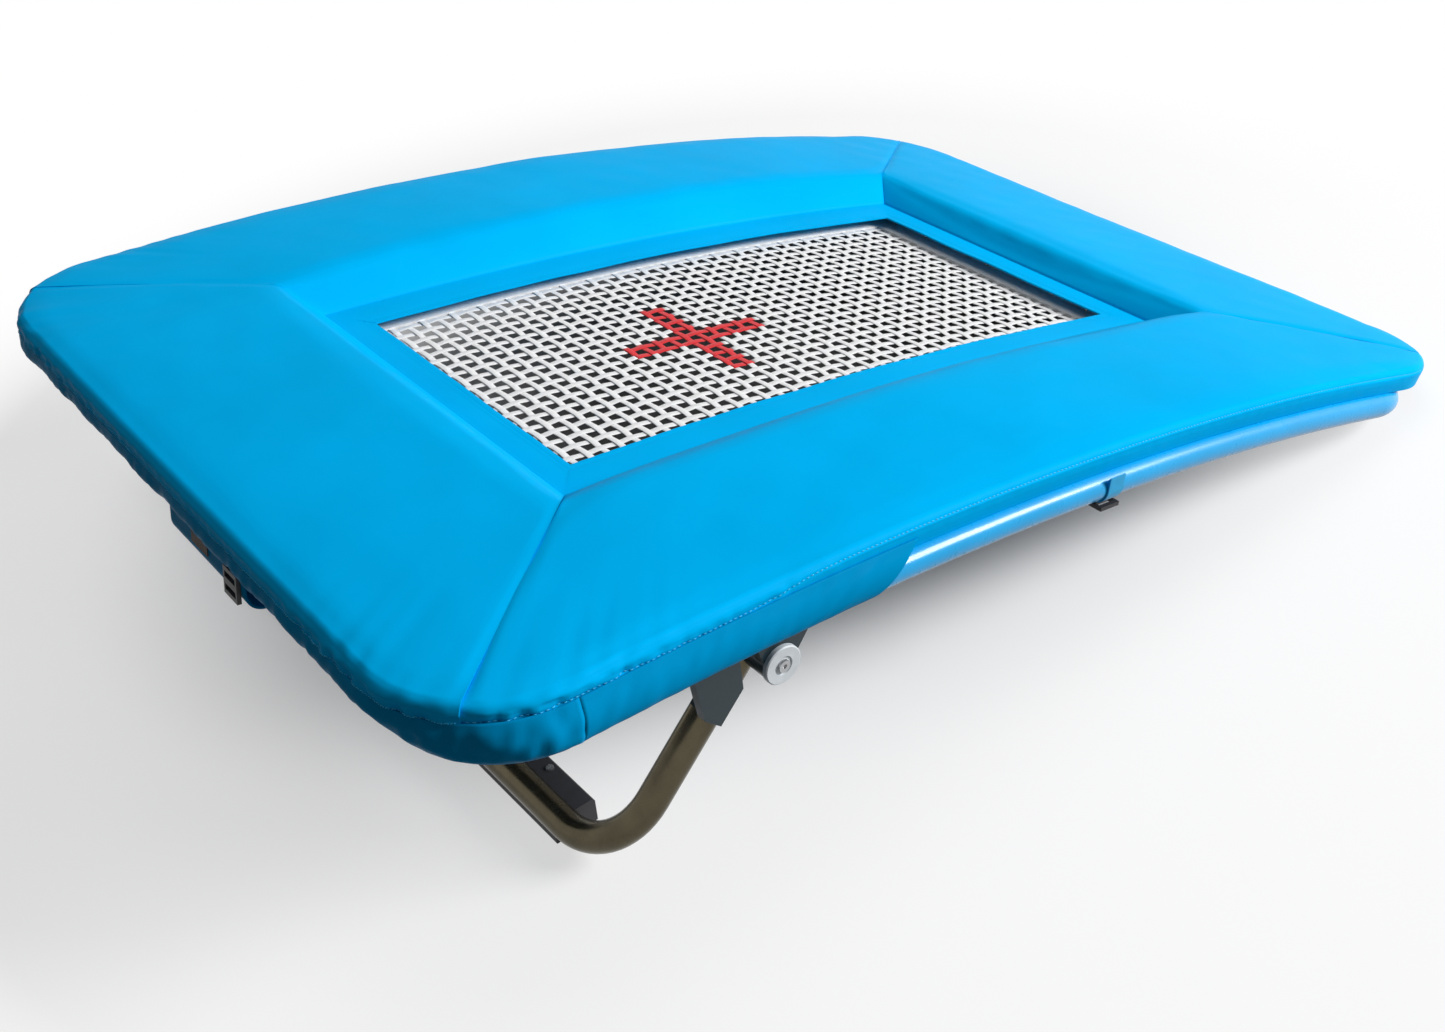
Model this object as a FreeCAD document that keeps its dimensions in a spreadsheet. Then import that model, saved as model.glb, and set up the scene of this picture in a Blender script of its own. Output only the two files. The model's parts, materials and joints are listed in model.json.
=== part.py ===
"""Mini trampoline on an arched tube frame, with a folding leg under its high end.

The frame is drawn level first: x runs along it towards the low end, y across it and z
square to the bed, with the origin at the middle of the bed. At the end everything is
tilted until the leg's foot and the low end tube both stand on the floor.
"""
import FreeCAD, Part
import math
import os
import Sketcher
from FreeCAD import Placement, Rotation, Vector

DIMENSIONS = [
    # Frame tubes
    ("tube_od", 35, "outer diameter of frame and leg tubes"),
    ("tube_wall", 2.5, "wall of the tubes"),
    ("frame_half_length", 751, "centre to the axis of an end tube"),
    ("frame_half_width", 556, "centre to the axis of a side rail"),
    ("corner_radius", 105, "bend of the frame's corners, on the tube's axis"),
    ("rail_rise", 6.2, "rails' axis over the bed, at mid length"),
    ("rail_arch", 4900, "radius of the rails' arch"),
    # Folding leg and its hinge
    ("hinge_from_end", 356.6, "high end tube to the hinge axis"),
    ("hinge_below_rail", 61, "rail's axis down to the hinge axis"),
    ("leg_inset", 56, "rail's axis in to the leg's axis"),
    ("leg_length", 277, "hinge axis to the foot bar's axis"),
    ("leg_splay", 34, "opened leg's lean from square, in degrees"),
    ("leg_bend_radius", 84, "bend between leg and foot bar"),
    ("pivot_od", 38, "sleeve across the top of the leg"),
    ("pivot_half_length", 18, "half the length of that sleeve"),
    ("axle_diameter", 20, "axle pressed through the sleeve"),
    ("axle_play", 0.3, "radial play of the axle in its bush"),
    ("snug", 0.05, "play between parts pressed together"),
    ("side_play", 0.3, "play between turning faces"),
    ("bush_wall", 2.7, "wall of the bush"),
    ("bush_flange", 2, "thickness of the bush's flange"),
    ("bush_flange_od", 34, "diameter of the bush's flange"),
    ("housing_od", 42, "hinge housing, outside"),
    ("housing_length", 30, "length of the hinge housing"),
    ("cap_diameter", 45, "round cap on the axle's end"),
    ("cap_thickness", 6, "thickness of that cap"),
    ("cap_recess_diameter", 22, "recess round the cap's screw"),
    ("cap_recess_depth", 1.6, "depth of that recess"),
    ("cap_screw_diameter", 8, "thread of the cap's screw"),
    ("cap_screw_length", 22, "length of its shank"),
    ("cap_screw_head", 14, "head of the cap's screw"),
    ("cap_screw_head_height", 3.4, "height of that head"),
    ("cap_screw_socket", 5, "socket in the head, across flats"),
    ("bracket_thickness", 14, "plate between rail and housing"),
    ("bracket_top", 92, "width of that plate at the rail"),
    ("bracket_foot", 36, "width of that plate at the housing"),
    ("bracket_seat", 8, "rail's axis down to that plate's top edge"),
    ("stop_face_top", 38, "hinge to the near end of the stop's face"),
    ("stop_face_length", 44, "length of the stop's face"),
    ("stop_plate", 12, "thickness of the stop's plate"),
    ("stop_out", 40, "leg's axis out to the middle of that plate"),
    ("tongue_out", 3, "leg's axis out to the end of the stop's tongue"),
    ("tongue_thickness", 8, "tongue that carries the buffer"),
    ("stop_top", 14, "rail's axis down to the stop's top edge"),
    ("stop_front", 56, "hinge to the front of the stop's weld"),
    ("stop_back", 116, "hinge to the back of the stop's weld"),
    ("stop_tail", 26, "width of the stop's lower end"),
    ("buffer_thickness", 6, "rubber buffer on the stop"),
    ("buffer_width", 14, "width of that buffer"),
    # What stands on the floor
    ("foot_sole", 3, "rubber under the foot bar"),
    ("foot_front", 14, "foot bar's axis to the strip's outer edge"),
    ("foot_heel", 39, "foot bar's axis to the strip's inner edge"),
    ("heel_height", 12, "top of the heel over the foot bar's axis"),
    ("strip_screw_count", 6, "screws along the heel"),
    ("strip_screw_head", 9, "head of a heel screw"),
    ("strip_screw_shank", 4, "shank of a heel screw"),
    ("strip_screw_length", 16, "length of its shank"),
    ("strip_screw_rise", 1.8, "height of its head"),
    ("floor_sleeve_length", 120, "rubber sleeve on the low end tube"),
    ("floor_sleeve_at", 330, "centre line to the sleeve's middle"),
    ("floor_sleeve_wall", 4, "wall of that sleeve"),
    ("floor_sleeve_sole", 3, "rubber left under the tube"),
    ("floor_sleeve_top", 6, "sleeve's open top over the tube's axis"),
    # Bed
    ("bed_half_length", 507, "centre to the bed's end"),
    ("bed_half_width", 267, "centre to the bed's side"),
    ("bed_arch", 20, "fall of the bed towards its ends"),
    ("web_thickness", 2.5, "woven web"),
    ("hem_width", 40, "sewn border of the bed"),
    ("hem_thickness", 5, "thickness of that border"),
    ("web_gaps_long", 20, "gaps along the bed"),
    ("web_gaps_across", 11, "gaps across the bed"),
    ("web_band", 16, "band left between two gaps"),
    ("mark_offset", 79, "bed's middle to the mark, towards the high end"),
    ("mark_long", 206, "length of the mark's long arm"),
    ("mark_across", 199, "length of its short arm"),
    ("mark_width", 31, "width of an arm"),
    ("mark_gap", 12, "gap in the mark, square"),
    ("mark_pitch", 21.4, "step from gap to gap"),
    ("mark_thickness", 0.8, "thickness of the mark's bands"),
    ("hem_rod", 8, "steel rod in the bed's edge"),
    ("hem_rod_out", 9, "bed's edge out to that rod"),
    # Springs
    ("spring_pitch", 66, "step from spring to spring"),
    ("springs_on_side", 15, "springs along a side"),
    ("springs_on_end", 8, "springs along an end"),
    ("spring_od", 16, "coils, outside"),
    ("spring_wire", 3, "wire of the springs"),
    ("spring_hook", 24, "rod's middle to the first coil"),
    ("hook_play", 0.3, "hook clear of its rod"),
    ("anchor_rod", 8, "rod that the springs hook on"),
    ("anchor_out", 14, "tube's wall in to that rod's axis"),
    ("anchor_up", 8, "rod's axis over the tube's axis"),
    ("lugs_on_side", 6, "lugs that carry a side rod"),
    ("lugs_on_end", 4, "lugs that carry an end rod"),
    ("rod_overhang", 20, "rod past the last spring"),
    # Frame pad, its inner flap and the skirt round the high end
    ("pad_shift", 33, "pad's middle past the frame's, to the low end"),
    ("pad_over_ends", 70, "pad's half length past the end tubes' axis"),
    ("pad_over_sides", 8, "pad's half width past the rails' axis"),
    ("pad_corner", 140, "outer corners in plan"),
    ("pad_thickness", 33.5, "foam at the outer edge"),
    ("pad_seat", 0.3, "pad clear of the tube under it"),
    ("pad_crest_rise", 3, "crest over the outer top edge"),
    ("pad_crown", 2, "bulge of the pad's top"),
    ("pad_edge_radius", 10, "rounding of the outer top edge"),
    ("pad_undercut", 4, "outer wall drawn in at its foot"),
    ("pad_over_springs", 18.3, "foam's underside over the bed's edge"),
    ("pad_flat_under", 29, "level strip of that underside"),
    ("pad_rest_in", 22, "rail's axis in to where the foam rests"),
    ("crest_half_length", 529, "top edge of the inner slope, lengthwise"),
    ("crest_half_width", 321, "the same, crosswise"),
    ("foot_half_length", 492, "foot of the inner slope, lengthwise"),
    ("foot_half_width", 271, "the same, crosswise"),
    ("foot_edge", 3, "foam at the foot of the slope"),
    ("flap_half_length", 448, "flap's free edge, lengthwise"),
    ("flap_half_width", 218, "the same, crosswise"),
    ("flap_over_bed", 17.5, "flap over the bed"),
    ("flap_thickness", 3, "thickness of the flap"),
    ("flap_tuck", 15, "flap sewn in under the foam"),
    ("skirt_cloth", 2, "thickness of the skirt"),
    ("skirt_play", 1, "skirt clear of the tube and of the pad's wall"),
    ("skirt_top", 30, "skirt's top over the tube's axis"),
    ("skirt_knee", 12, "where it leaves the pad, over the tube's axis"),
    ("skirt_under", 4, "hem turned under, from the tube's axis"),
    ("skirt_end_low", 308, "centre to the end of the skirt's hem"),
    ("skirt_end_high", 232, "centre to the end of the skirt's top"),
    # Straps and the closing tab
    ("strap_width", 25, "webbing strap"),
    ("strap_cloth", 2, "thickness of the strap"),
    ("end_strap_drop", 3.5, "end straps stop short of the side straps' height"),
    ("strap_at", 70, "centre to the side straps"),
    ("end_strap_at", 180, "centre line to the low end's straps"),
    ("buckle_length", 34, "strap buckle, along the strap"),
    ("buckle_width", 31, "strap buckle, across it"),
    ("buckle_thickness", 5, "thickness of that buckle"),
    ("tab_width", 185, "closing tab under the high end"),
    ("tab_at", 62, "centre line to the tab's middle"),
    ("tab_play", 0.5, "tab clear of the skirt"),
    ("tab_cloth", 2.5, "thickness of the tab"),
    ("tab_centre_down", 30, "tube's axis down to the tab's round"),
    ("tab_rise", 21, "straight part of the tab over its round"),
    ("tab_wrap", 140, "how far the tab goes round, in degrees"),
    ("patch_at", 48, "centre line to the hook patch"),
    ("patch_width", 40, "hook patch on the tab"),
    ("patch_height", 18, "height of that patch"),
    ("patch_thickness", 1.5, "thickness of that patch"),
    ("patch_up", 1, "straight part's low end up to the patch"),
    ("tab_buckle_at", 131, "centre line to the tab's buckle"),
    ("tab_buckle_up", 2, "straight part's low end up to the buckle's middle"),
]

document = FreeCAD.newDocument("Trampoline")
sheet = document.addObject("Spreadsheet::Sheet", "Sizes")
for row, (alias, value, note) in enumerate(DIMENSIONS, start=1):
    sheet.set("A%d" % row, note)
    sheet.set("B%d" % row, str(value))
    sheet.setAlias("B%d" % row, alias)
document.recompute()

UP = Vector(0, 0, 1)
ACROSS = Vector(0, 1, 0)
SIDES = (("left", 1), ("right", -1))
pieces = []


def size(name):
    """Value of one named size, in millimetres or degrees."""
    return float(sheet.get(name))


def count(name):
    """A named number of copies."""
    return int(round(size(name)))


def keep(item, label, place=None):
    """Name a finished piece and put it in its place in the level frame."""
    item.Label = label
    if place is not None:
        item.Placement = place
    pieces.append(item)
    return item


def feature(label, shape):
    """A piece whose form is swept, lofted or cut here from the named sizes."""
    item = document.addObject("Part::Feature", label)
    item.Shape = shape
    return keep(item, label)


def primitive(kind, name, place=None, **bindings):
    """A Part primitive whose properties follow expressions over the named sizes."""
    item = document.addObject(kind, name)
    for prop, expression in bindings.items():
        item.setExpression(prop, expression)
    if place is not None:
        item.Placement = place
    return item


def cut(name, base, tool):
    """Boolean difference of two objects."""
    item = document.addObject("Part::Cut", name)
    item.Base = base
    item.Tool = tool
    return item


def polygon_sketch(body, name, role, corners):
    """Closed outline on an origin plane; each corner is a pair of expressions."""
    sketch = body.newObject("Sketcher::SketchObject", name)
    plane = [item for item in body.Origin.OriginFeatures if item.Role == role][0]
    sketch.AttachmentSupport = (plane, "")
    sketch.MapMode = "FlatFace"
    spots = [Vector(sheet.evalExpression(a), sheet.evalExpression(b), 0) for a, b in corners]
    last = len(spots) - 1
    for index, spot in enumerate(spots):
        sketch.addGeometry(Part.LineSegment(spot, spots[0 if index == last else index + 1]))
    for index in range(len(spots)):
        sketch.addConstraint(Sketcher.Constraint("Coincident", index, 2, (index + 1) % len(spots), 1))
    for index, (pair, spot) in enumerate(zip(corners, spots)):
        for axis, expression, value in zip(("DistanceX", "DistanceY"), pair, spot):
            number = sketch.addConstraint(Sketcher.Constraint(axis, -1, 1, index, 1, value))
            sketch.setExpression("Constraints[%d]" % number, expression)
    return sketch


def padded_body(label, role, corners, length):
    """A body with one pad, symmetric about the plane of its outline."""
    body = document.addObject("PartDesign::Body", label)
    pad = body.newObject("PartDesign::Pad", label + "_pad")
    pad.Profile = polygon_sketch(body, label + "_outline", role, corners)
    pad.SideType = "Symmetric"
    pad.setExpression("Length", length)
    return body


def turned_body(label, corners):
    """A body turned about its z axis from an outline in the x z plane."""
    body = document.addObject("PartDesign::Body", label)
    turn = body.newObject("PartDesign::Revolution", label + "_turn")
    outline = polygon_sketch(body, label + "_outline", "XZ_Plane", corners)
    turn.Profile = outline
    turn.ReferenceAxis = (outline, ["V_Axis"])
    turn.Angle = 360
    return body


# Heights along the frame: the rails are one arch, and the corner bends go on in its slope
tube_radius = size("tube_od") / 2
half_length = size("frame_half_length")
half_width = size("frame_half_width")
corner = size("corner_radius")
arch = size("rail_arch")
slope = math.asin(half_length / math.hypot(arch, corner)) - math.atan2(corner, arch)
corner_start = half_length - corner * math.cos(slope)


def rail_height(x):
    """Height of a side rail's axis, with the bed's middle at zero."""
    on_arch = min(abs(x), corner_start)
    past_arch = abs(x) - on_arch
    return size("rail_rise") - arch + math.sqrt(arch * arch - on_arch * on_arch) - past_arch * math.tan(slope)


bed_radius = (size("bed_half_length") ** 2 + size("bed_arch") ** 2) / (2 * size("bed_arch"))


def bed_height(x):
    """Height of the bed's upper face, which is a shallow arch."""
    return math.sqrt(bed_radius ** 2 - x * x) - bed_radius


def arched_bar(radius, top, bend, reach):
    """Round bar on an arch of radius bend through its top point, to reach on both sides."""
    turn = math.asin(reach / bend)
    middle = top - UP * bend
    start = middle + Vector(-bend * math.sin(turn), 0, bend * math.cos(turn))
    end_face = disc(radius, start, Vector(math.cos(turn), 0, math.sin(turn)))
    return end_face.revolve(middle, ACROSS, 2 * math.degrees(turn))


def disc(radius, middle, facing):
    """Flat round face."""
    return Part.Face(Part.Wire([Part.makeCircle(radius, middle, facing)]))


def quarter_bend(radius, middle, first, last):
    """Round bar bent by a quarter about middle, from the first offset to the last."""
    return disc(radius, middle + first, last).revolve(middle, first.cross(last), 90)


def hollow(bar):
    """Tube with the frame's wall, from a function that gives its bar of any radius."""
    return bar(tube_radius).cut(bar(tube_radius - size("tube_wall")))


# Frame: two arched side rails, two end tubes and four corner bends
end_height = rail_height(half_length)
corner_height = rail_height(corner_start)


def rail_bar(radius, sign, lift=0, inset=0, reach=corner_start):
    """Round bar that follows a side rail's arch."""
    top = Vector(0, sign * (half_width - inset), size("rail_rise") + lift)
    return arched_bar(radius, top, arch, reach)


rail_outsides = {}
for side, sign in SIDES:
    rail_outsides[side] = rail_bar(tube_radius, sign)
    feature("side_rail_" + side, hollow(lambda radius: rail_bar(radius, sign)))

for end, way in (("high", -1), ("low", 1)):
    along = Vector(way * math.cos(slope), 0, -math.sin(slope))
    for side, sign in SIDES:
        centre = Vector(way * corner_start, sign * (half_width - corner), corner_height)
        bend = hollow(lambda radius: quarter_bend(radius, centre, ACROSS * (sign * corner), along * corner))
        feature("corner_bend_%s_%s" % (end, side), bend)
    lying = Placement(Vector(way * half_length, corner - half_width, end_height), Rotation(Vector(1, 0, 0), -90))
    span = "2 * (Sizes.frame_half_width - Sizes.corner_radius)"
    skin = primitive("Part::Cylinder", "end_skin_" + end, Radius="Sizes.tube_od / 2", Height=span)
    core = primitive("Part::Cylinder", "end_core_" + end, Radius="Sizes.tube_od / 2 - Sizes.tube_wall", Height=span)
    keep(cut("end_tube_" + end, skin, core), "end_tube_" + end, lying)

# Hinge stations, measured outwards from the centre line
leg_y = half_width - size("leg_inset")
sleeve_end = leg_y + size("pivot_half_length")
flange_at = sleeve_end + size("side_play")
housing_at = flange_at + size("bush_flange")
cap_at = housing_at + size("housing_length") + size("side_play")
bracket_at = housing_at + size("housing_length") - size("bracket_thickness") / 2
hinge_x = -half_length + size("hinge_from_end")
hinge_z = rail_height(hinge_x) - size("hinge_below_rail")
hinge = Vector(hinge_x, 0, hinge_z)


def on_hinge(sign, distance):
    """Place on the hinge axis with z pointing outwards."""
    return Placement(Vector(hinge_x, sign * distance, hinge_z), Rotation(Vector(1, 0, 0), -90 * sign))


def slanted(reach):
    """Corner on the stop's top edge, in the leg's slant, from its reach past the hinge."""
    drop = "(Sizes.hinge_below_rail - Sizes.stop_top)"
    lean = "Sizes.leg_splay * 1deg"
    across = "%s * cos(%s) - %s * sin(%s)" % (reach, lean, drop, lean)
    return across, "%s * sin(%s) + %s * cos(%s)" % (reach, lean, drop, lean)


def stop_block(sign, back, front, out):
    """Block on the leg's outer half, from the tongue's end outwards, beside the opened leg."""
    width = out - size("tongue_out")
    block = Part.makeBox(front - back, width, size("stop_face_length"))
    near = size("tongue_out") if sign > 0 else -out
    spot = Vector(back, near, -size("stop_face_top") - size("stop_face_length"))
    block.Placement = Placement(Vector(hinge_x, sign * leg_y, hinge_z), Rotation(ACROSS, size("leg_splay"))).multiply(
        Placement(spot, Rotation()))
    return block


bush_solids = []
buffer_solids = []
for side, sign in SIDES:
    # Housing tube under the rail
    skin = primitive("Part::Cylinder", "housing_skin_" + side, Radius="Sizes.housing_od / 2", Height="Sizes.housing_length")
    bore_radius = "Sizes.axle_diameter / 2 + Sizes.axle_play + Sizes.bush_wall + Sizes.snug"
    core = primitive("Part::Cylinder", "housing_core_" + side, Radius=bore_radius, Height="Sizes.housing_length")
    keep(cut("hinge_housing_" + side, skin, core), "hinge_housing_" + side, on_hinge(sign, housing_at))

    # Plain bush with a flange on its inner end
    bore = size("axle_diameter") / 2 + size("axle_play")
    barrel = Part.makeCylinder(bore + size("bush_wall"), size("housing_length") + size("bush_flange"))
    flange = Part.makeCylinder(size("bush_flange_od") / 2, size("bush_flange"))
    bush = barrel.fuse(flange).cut(Part.makeCylinder(bore, size("housing_length") + size("bush_flange")))
    bush.Placement = on_hinge(sign, flange_at)
    bush_solids.append(bush)

    # Saddle plate from the rail down to the housing
    plate_top = "Sizes.hinge_below_rail - Sizes.bracket_seat"
    plate = padded_body("bracket_plate_" + side, "XZ_Plane", [
        ("-Sizes.bracket_top / 2", plate_top),
        ("-Sizes.bracket_foot / 2", "0"),
        ("Sizes.bracket_foot / 2", "0"),
        ("Sizes.bracket_top / 2", plate_top),
    ], "Sizes.bracket_thickness")
    plate.Placement = Placement(Vector(hinge_x, sign * bracket_at, hinge_z), Rotation())
    document.recompute()
    saddle = plate.Shape.cut(rail_outsides[side])
    round_seat = Part.makeCylinder(size("housing_od") / 2, size("housing_length"))
    round_seat.Placement = on_hinge(sign, housing_at)
    feature("hinge_bracket_" + side, saddle.cut(round_seat))

    # Stop plate beside the rail, drawn in the leg's own slant, and its tongue with the buffer
    opened = Placement(Vector(hinge_x, sign * leg_y, hinge_z), Rotation(ACROSS, size("leg_splay")))
    face = "-(Sizes.tube_od / 2 + Sizes.side_play + Sizes.buffer_thickness)"
    end = "-(Sizes.stop_face_top + Sizes.stop_face_length)"
    stop = padded_body("stop_plate_" + side, "XZ_Plane", [
        (face, "-Sizes.stop_face_top"),
        (face, end),
        (face + " - Sizes.stop_tail", end),
        slanted("-Sizes.stop_back"),
        slanted("-Sizes.stop_front"),
    ], "Sizes.stop_plate")
    stop.Placement = opened.multiply(Placement(Vector(0, sign * size("stop_out"), 0), Rotation()))
    document.recompute()
    buffer_face = -tube_radius - size("side_play")
    stop_face = buffer_face - size("buffer_thickness")
    face_end = -size("stop_face_top") - size("stop_face_length")
    tongue = stop_block(sign, stop_face - size("tongue_thickness"), stop_face, size("stop_out"))
    feature("leg_stop_" + side, stop.Shape.cut(rail_outsides[side]).fuse(tongue))
    buffer_solids.append(stop_block(sign, stop_face, buffer_face, size("tongue_out") + size("buffer_width")))
feature("hinge_bushes", Part.makeCompound(bush_solids))
feature("stop_buffers", Part.makeCompound(buffer_solids))

# Folding leg, drawn upright under its hinge axis and then leaned to its splay
opened = Placement(hinge, Rotation(ACROSS, size("leg_splay")))
leg_length = size("leg_length")
leg_bend = size("leg_bend_radius")
bar_half = leg_y - leg_bend


def leg_bar(radius):
    """Round bar along the leg: two uprights, two bends and the foot bar."""
    upright = leg_length - leg_bend
    bar = Part.makeCylinder(radius, 2 * bar_half, Vector(0, -bar_half, -leg_length), ACROSS)
    for side, sign in SIDES:
        bend_middle = Vector(0, sign * bar_half, -upright)
        bend = quarter_bend(radius, bend_middle, -UP * leg_bend, ACROSS * (sign * leg_bend))
        bar = bar.fuse(bend).fuse(Part.makeCylinder(radius, upright, Vector(0, sign * leg_y, -upright)))
    return bar


leg = hollow(leg_bar)
for side, sign in SIDES:
    across = Rotation(Vector(1, 0, 0), -90 * sign)
    inner = Placement(Vector(0, sign * (leg_y - size("pivot_half_length")), 0), across)
    sleeve = Part.makeCylinder(size("pivot_od") / 2, 2 * size("pivot_half_length"))
    bore = Part.makeCylinder(size("axle_diameter") / 2 + size("snug"), 2 * size("pivot_half_length"))
    sleeve.Placement = inner
    bore.Placement = inner
    leg = leg.cut(sleeve).fuse(sleeve.cut(bore))
feature("leg_tube", leg).Placement = opened


def screw(head, head_height, shank, length, socket):
    """Screw with a round head at the origin, its shank going down."""
    turned = Part.makeCylinder(head / 2, head_height)
    turned = turned.fuse(Part.makeCylinder(shank / 2, length, Vector(0, 0, -length)))
    reach = socket / math.sqrt(3)
    corners = [Vector(reach * math.cos(math.radians(60 * k)), reach * math.sin(math.radians(60 * k)), 0)
               for k in range(7)]
    key = Part.Face(Part.makePolygon(corners)).extrude(UP * head_height)
    return turned.cut(key.translated(UP * (head_height * 0.4)))


seat = size("cap_thickness") - size("cap_recess_depth")
screw_depth = size("cap_screw_length") - seat
screw_solids = []
for side, sign in SIDES:
    # Axle, held in the sleeve and turning in the bush
    shaft_length = "2 * Sizes.pivot_half_length + 2 * Sizes.side_play + Sizes.bush_flange + Sizes.housing_length"
    shaft = primitive("Part::Cylinder", "axle_shaft_" + side, Radius="Sizes.axle_diameter / 2", Height=shaft_length)
    thread = primitive("Part::Cylinder", "axle_thread_" + side, Radius="Sizes.cap_screw_diameter / 2 + Sizes.snug",
                       Height="Sizes.cap_screw_length")
    thread.Placement = Placement(Vector(0, 0, sheet.evalExpression(shaft_length) - screw_depth - 1), Rotation())
    keep(cut("hinge_axle_" + side, shaft, thread), "hinge_axle_" + side,
         on_hinge(sign, leg_y - size("pivot_half_length")))

    # Round cap with a chamfered rim and a recess for its screw
    cap = turned_body("hinge_cap_" + side, [
        ("Sizes.cap_screw_diameter / 2 + Sizes.snug", "0"),
        ("Sizes.cap_diameter / 2", "0"),
        ("Sizes.cap_diameter / 2", "Sizes.cap_thickness - 1.2"),
        ("Sizes.cap_diameter / 2 - 1.2", "Sizes.cap_thickness"),
        ("Sizes.cap_recess_diameter / 2", "Sizes.cap_thickness"),
        ("Sizes.cap_recess_diameter / 2", "Sizes.cap_thickness - Sizes.cap_recess_depth"),
        ("Sizes.cap_screw_diameter / 2 + Sizes.snug", "Sizes.cap_thickness - Sizes.cap_recess_depth"),
    ])
    keep(cap, "hinge_cap_" + side, on_hinge(sign, cap_at))
    held = screw(size("cap_screw_head"), size("cap_screw_head_height"), size("cap_screw_diameter"),
                 size("cap_screw_length"), size("cap_screw_socket"))
    held.Placement = on_hinge(sign, cap_at + seat)
    screw_solids.append(held)
feature("cap_screws", Part.makeCompound(screw_solids))

# Tilt that brings the foot and the low end tube to the floor together
foot_axis = opened.multVec(Vector(0, 0, -leg_length))
low_axis = Vector(half_length, 0, end_height)
run = low_axis.x - foot_axis.x
rise = low_axis.z - foot_axis.z
level_gain = (size("floor_sleeve_sole") - size("foot_sole")) / math.hypot(run, rise)
tilt = math.degrees(math.atan2(rise, run) - math.asin(level_gain))
level = Rotation(ACROSS, -tilt)

# Foot strip under the bar, with a heel that stands on the inner side
strip = padded_body("foot_strip_blank", "XZ_Plane", [
    ("-Sizes.foot_front", "-Sizes.tube_od * 0.3"),
    ("-Sizes.foot_front", "-Sizes.tube_od / 2 - Sizes.foot_sole"),
    ("Sizes.foot_heel", "-Sizes.tube_od / 2 - Sizes.foot_sole"),
    ("Sizes.foot_heel", "Sizes.heel_height - 4"),
    ("Sizes.foot_heel - 3", "Sizes.heel_height"),
    ("Sizes.tube_od * 0.3", "Sizes.heel_height"),
    ("0", "0"),
], "2 * (Sizes.frame_half_width - Sizes.leg_inset - Sizes.leg_bend_radius)")
hug = primitive("Part::Cylinder", "foot_strip_hug", Radius="Sizes.tube_od / 2 + Sizes.snug",
                Height="2 * Sizes.frame_half_width")
hug.Placement = Placement(Vector(0, half_width, 0), Rotation(Vector(1, 0, 0), 90))
foot_place = Placement(foot_axis, level)
document.recompute()
heel_x = (size("foot_heel") + tube_radius) / 2
heel_top = size("heel_height")
strip_shape = strip.Shape.cut(hug.Shape)
strip_screws = []
screws_on_strip = count("strip_screw_count")
for index in range(screws_on_strip):
    along = 2 * bar_half * ((index + 0.5) / screws_on_strip - 0.5)
    spot = Vector(heel_x, along, heel_top)
    length = size("strip_screw_length")
    hole = Part.makeCylinder(size("strip_screw_shank") / 2 + size("snug"), length + 1, spot - UP * (length + 1))
    strip_shape = strip_shape.cut(hole)
    pin = screw(size("strip_screw_head"), size("strip_screw_rise"), size("strip_screw_shank"), length,
                size("strip_screw_shank") * 0.6)
    pin.Placement = foot_place.multiply(Placement(spot, Rotation()))
    strip_screws.append(pin)
feature("foot_strip", strip_shape).Placement = foot_place
feature("foot_strip_screws", Part.makeCompound(strip_screws))

# Rubber sleeves clipped on the low end tube, flat where they stand and open under the pad
sleeve_radius = tube_radius + size("floor_sleeve_wall")
sleeve_length = size("floor_sleeve_length")
for side, sign in SIDES:
    start = Vector(0, -sleeve_length / 2, 0)
    ring = Part.makeCylinder(sleeve_radius, sleeve_length, start, ACROSS)
    ring = ring.cut(Part.makeCylinder(tube_radius + size("snug"), sleeve_length, start, ACROSS))
    worn = Part.makeBox(2 * sleeve_radius, sleeve_length, sleeve_radius)
    worn.translate(Vector(-sleeve_radius, -sleeve_length / 2,
                          -tube_radius - size("floor_sleeve_sole") - sleeve_radius))
    mouth = Part.makeBox(2 * sleeve_radius, sleeve_length, sleeve_radius)
    mouth.translate(Vector(-sleeve_radius, -sleeve_length / 2, size("floor_sleeve_top")))
    middle = Vector(half_length, sign * size("floor_sleeve_at"), end_height)
    feature("floor_sleeve_" + side, ring.cut(worn).cut(mouth)).Placement = Placement(middle, level)

# Rods and lugs along the tubes for the springs to hook on
rod_radius = size("anchor_rod") / 2
rod_in = tube_radius + size("anchor_out")
lug_width = 5
lug_sink = tube_radius / 3
lug_height = size("anchor_rod") + 6


def row(number):
    """Positions of evenly pitched springs about the centre."""
    return [(index - (number - 1) / 2) * size("spring_pitch") for index in range(number)]


def lug_row(springs, lugs):
    """Positions of lugs, each midway between two springs."""
    gaps = springs - 2
    slots = [round(index * gaps / (lugs - 1)) for index in range(lugs)]
    return [row(springs)[slot] + size("spring_pitch") / 2 for slot in slots]


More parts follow.
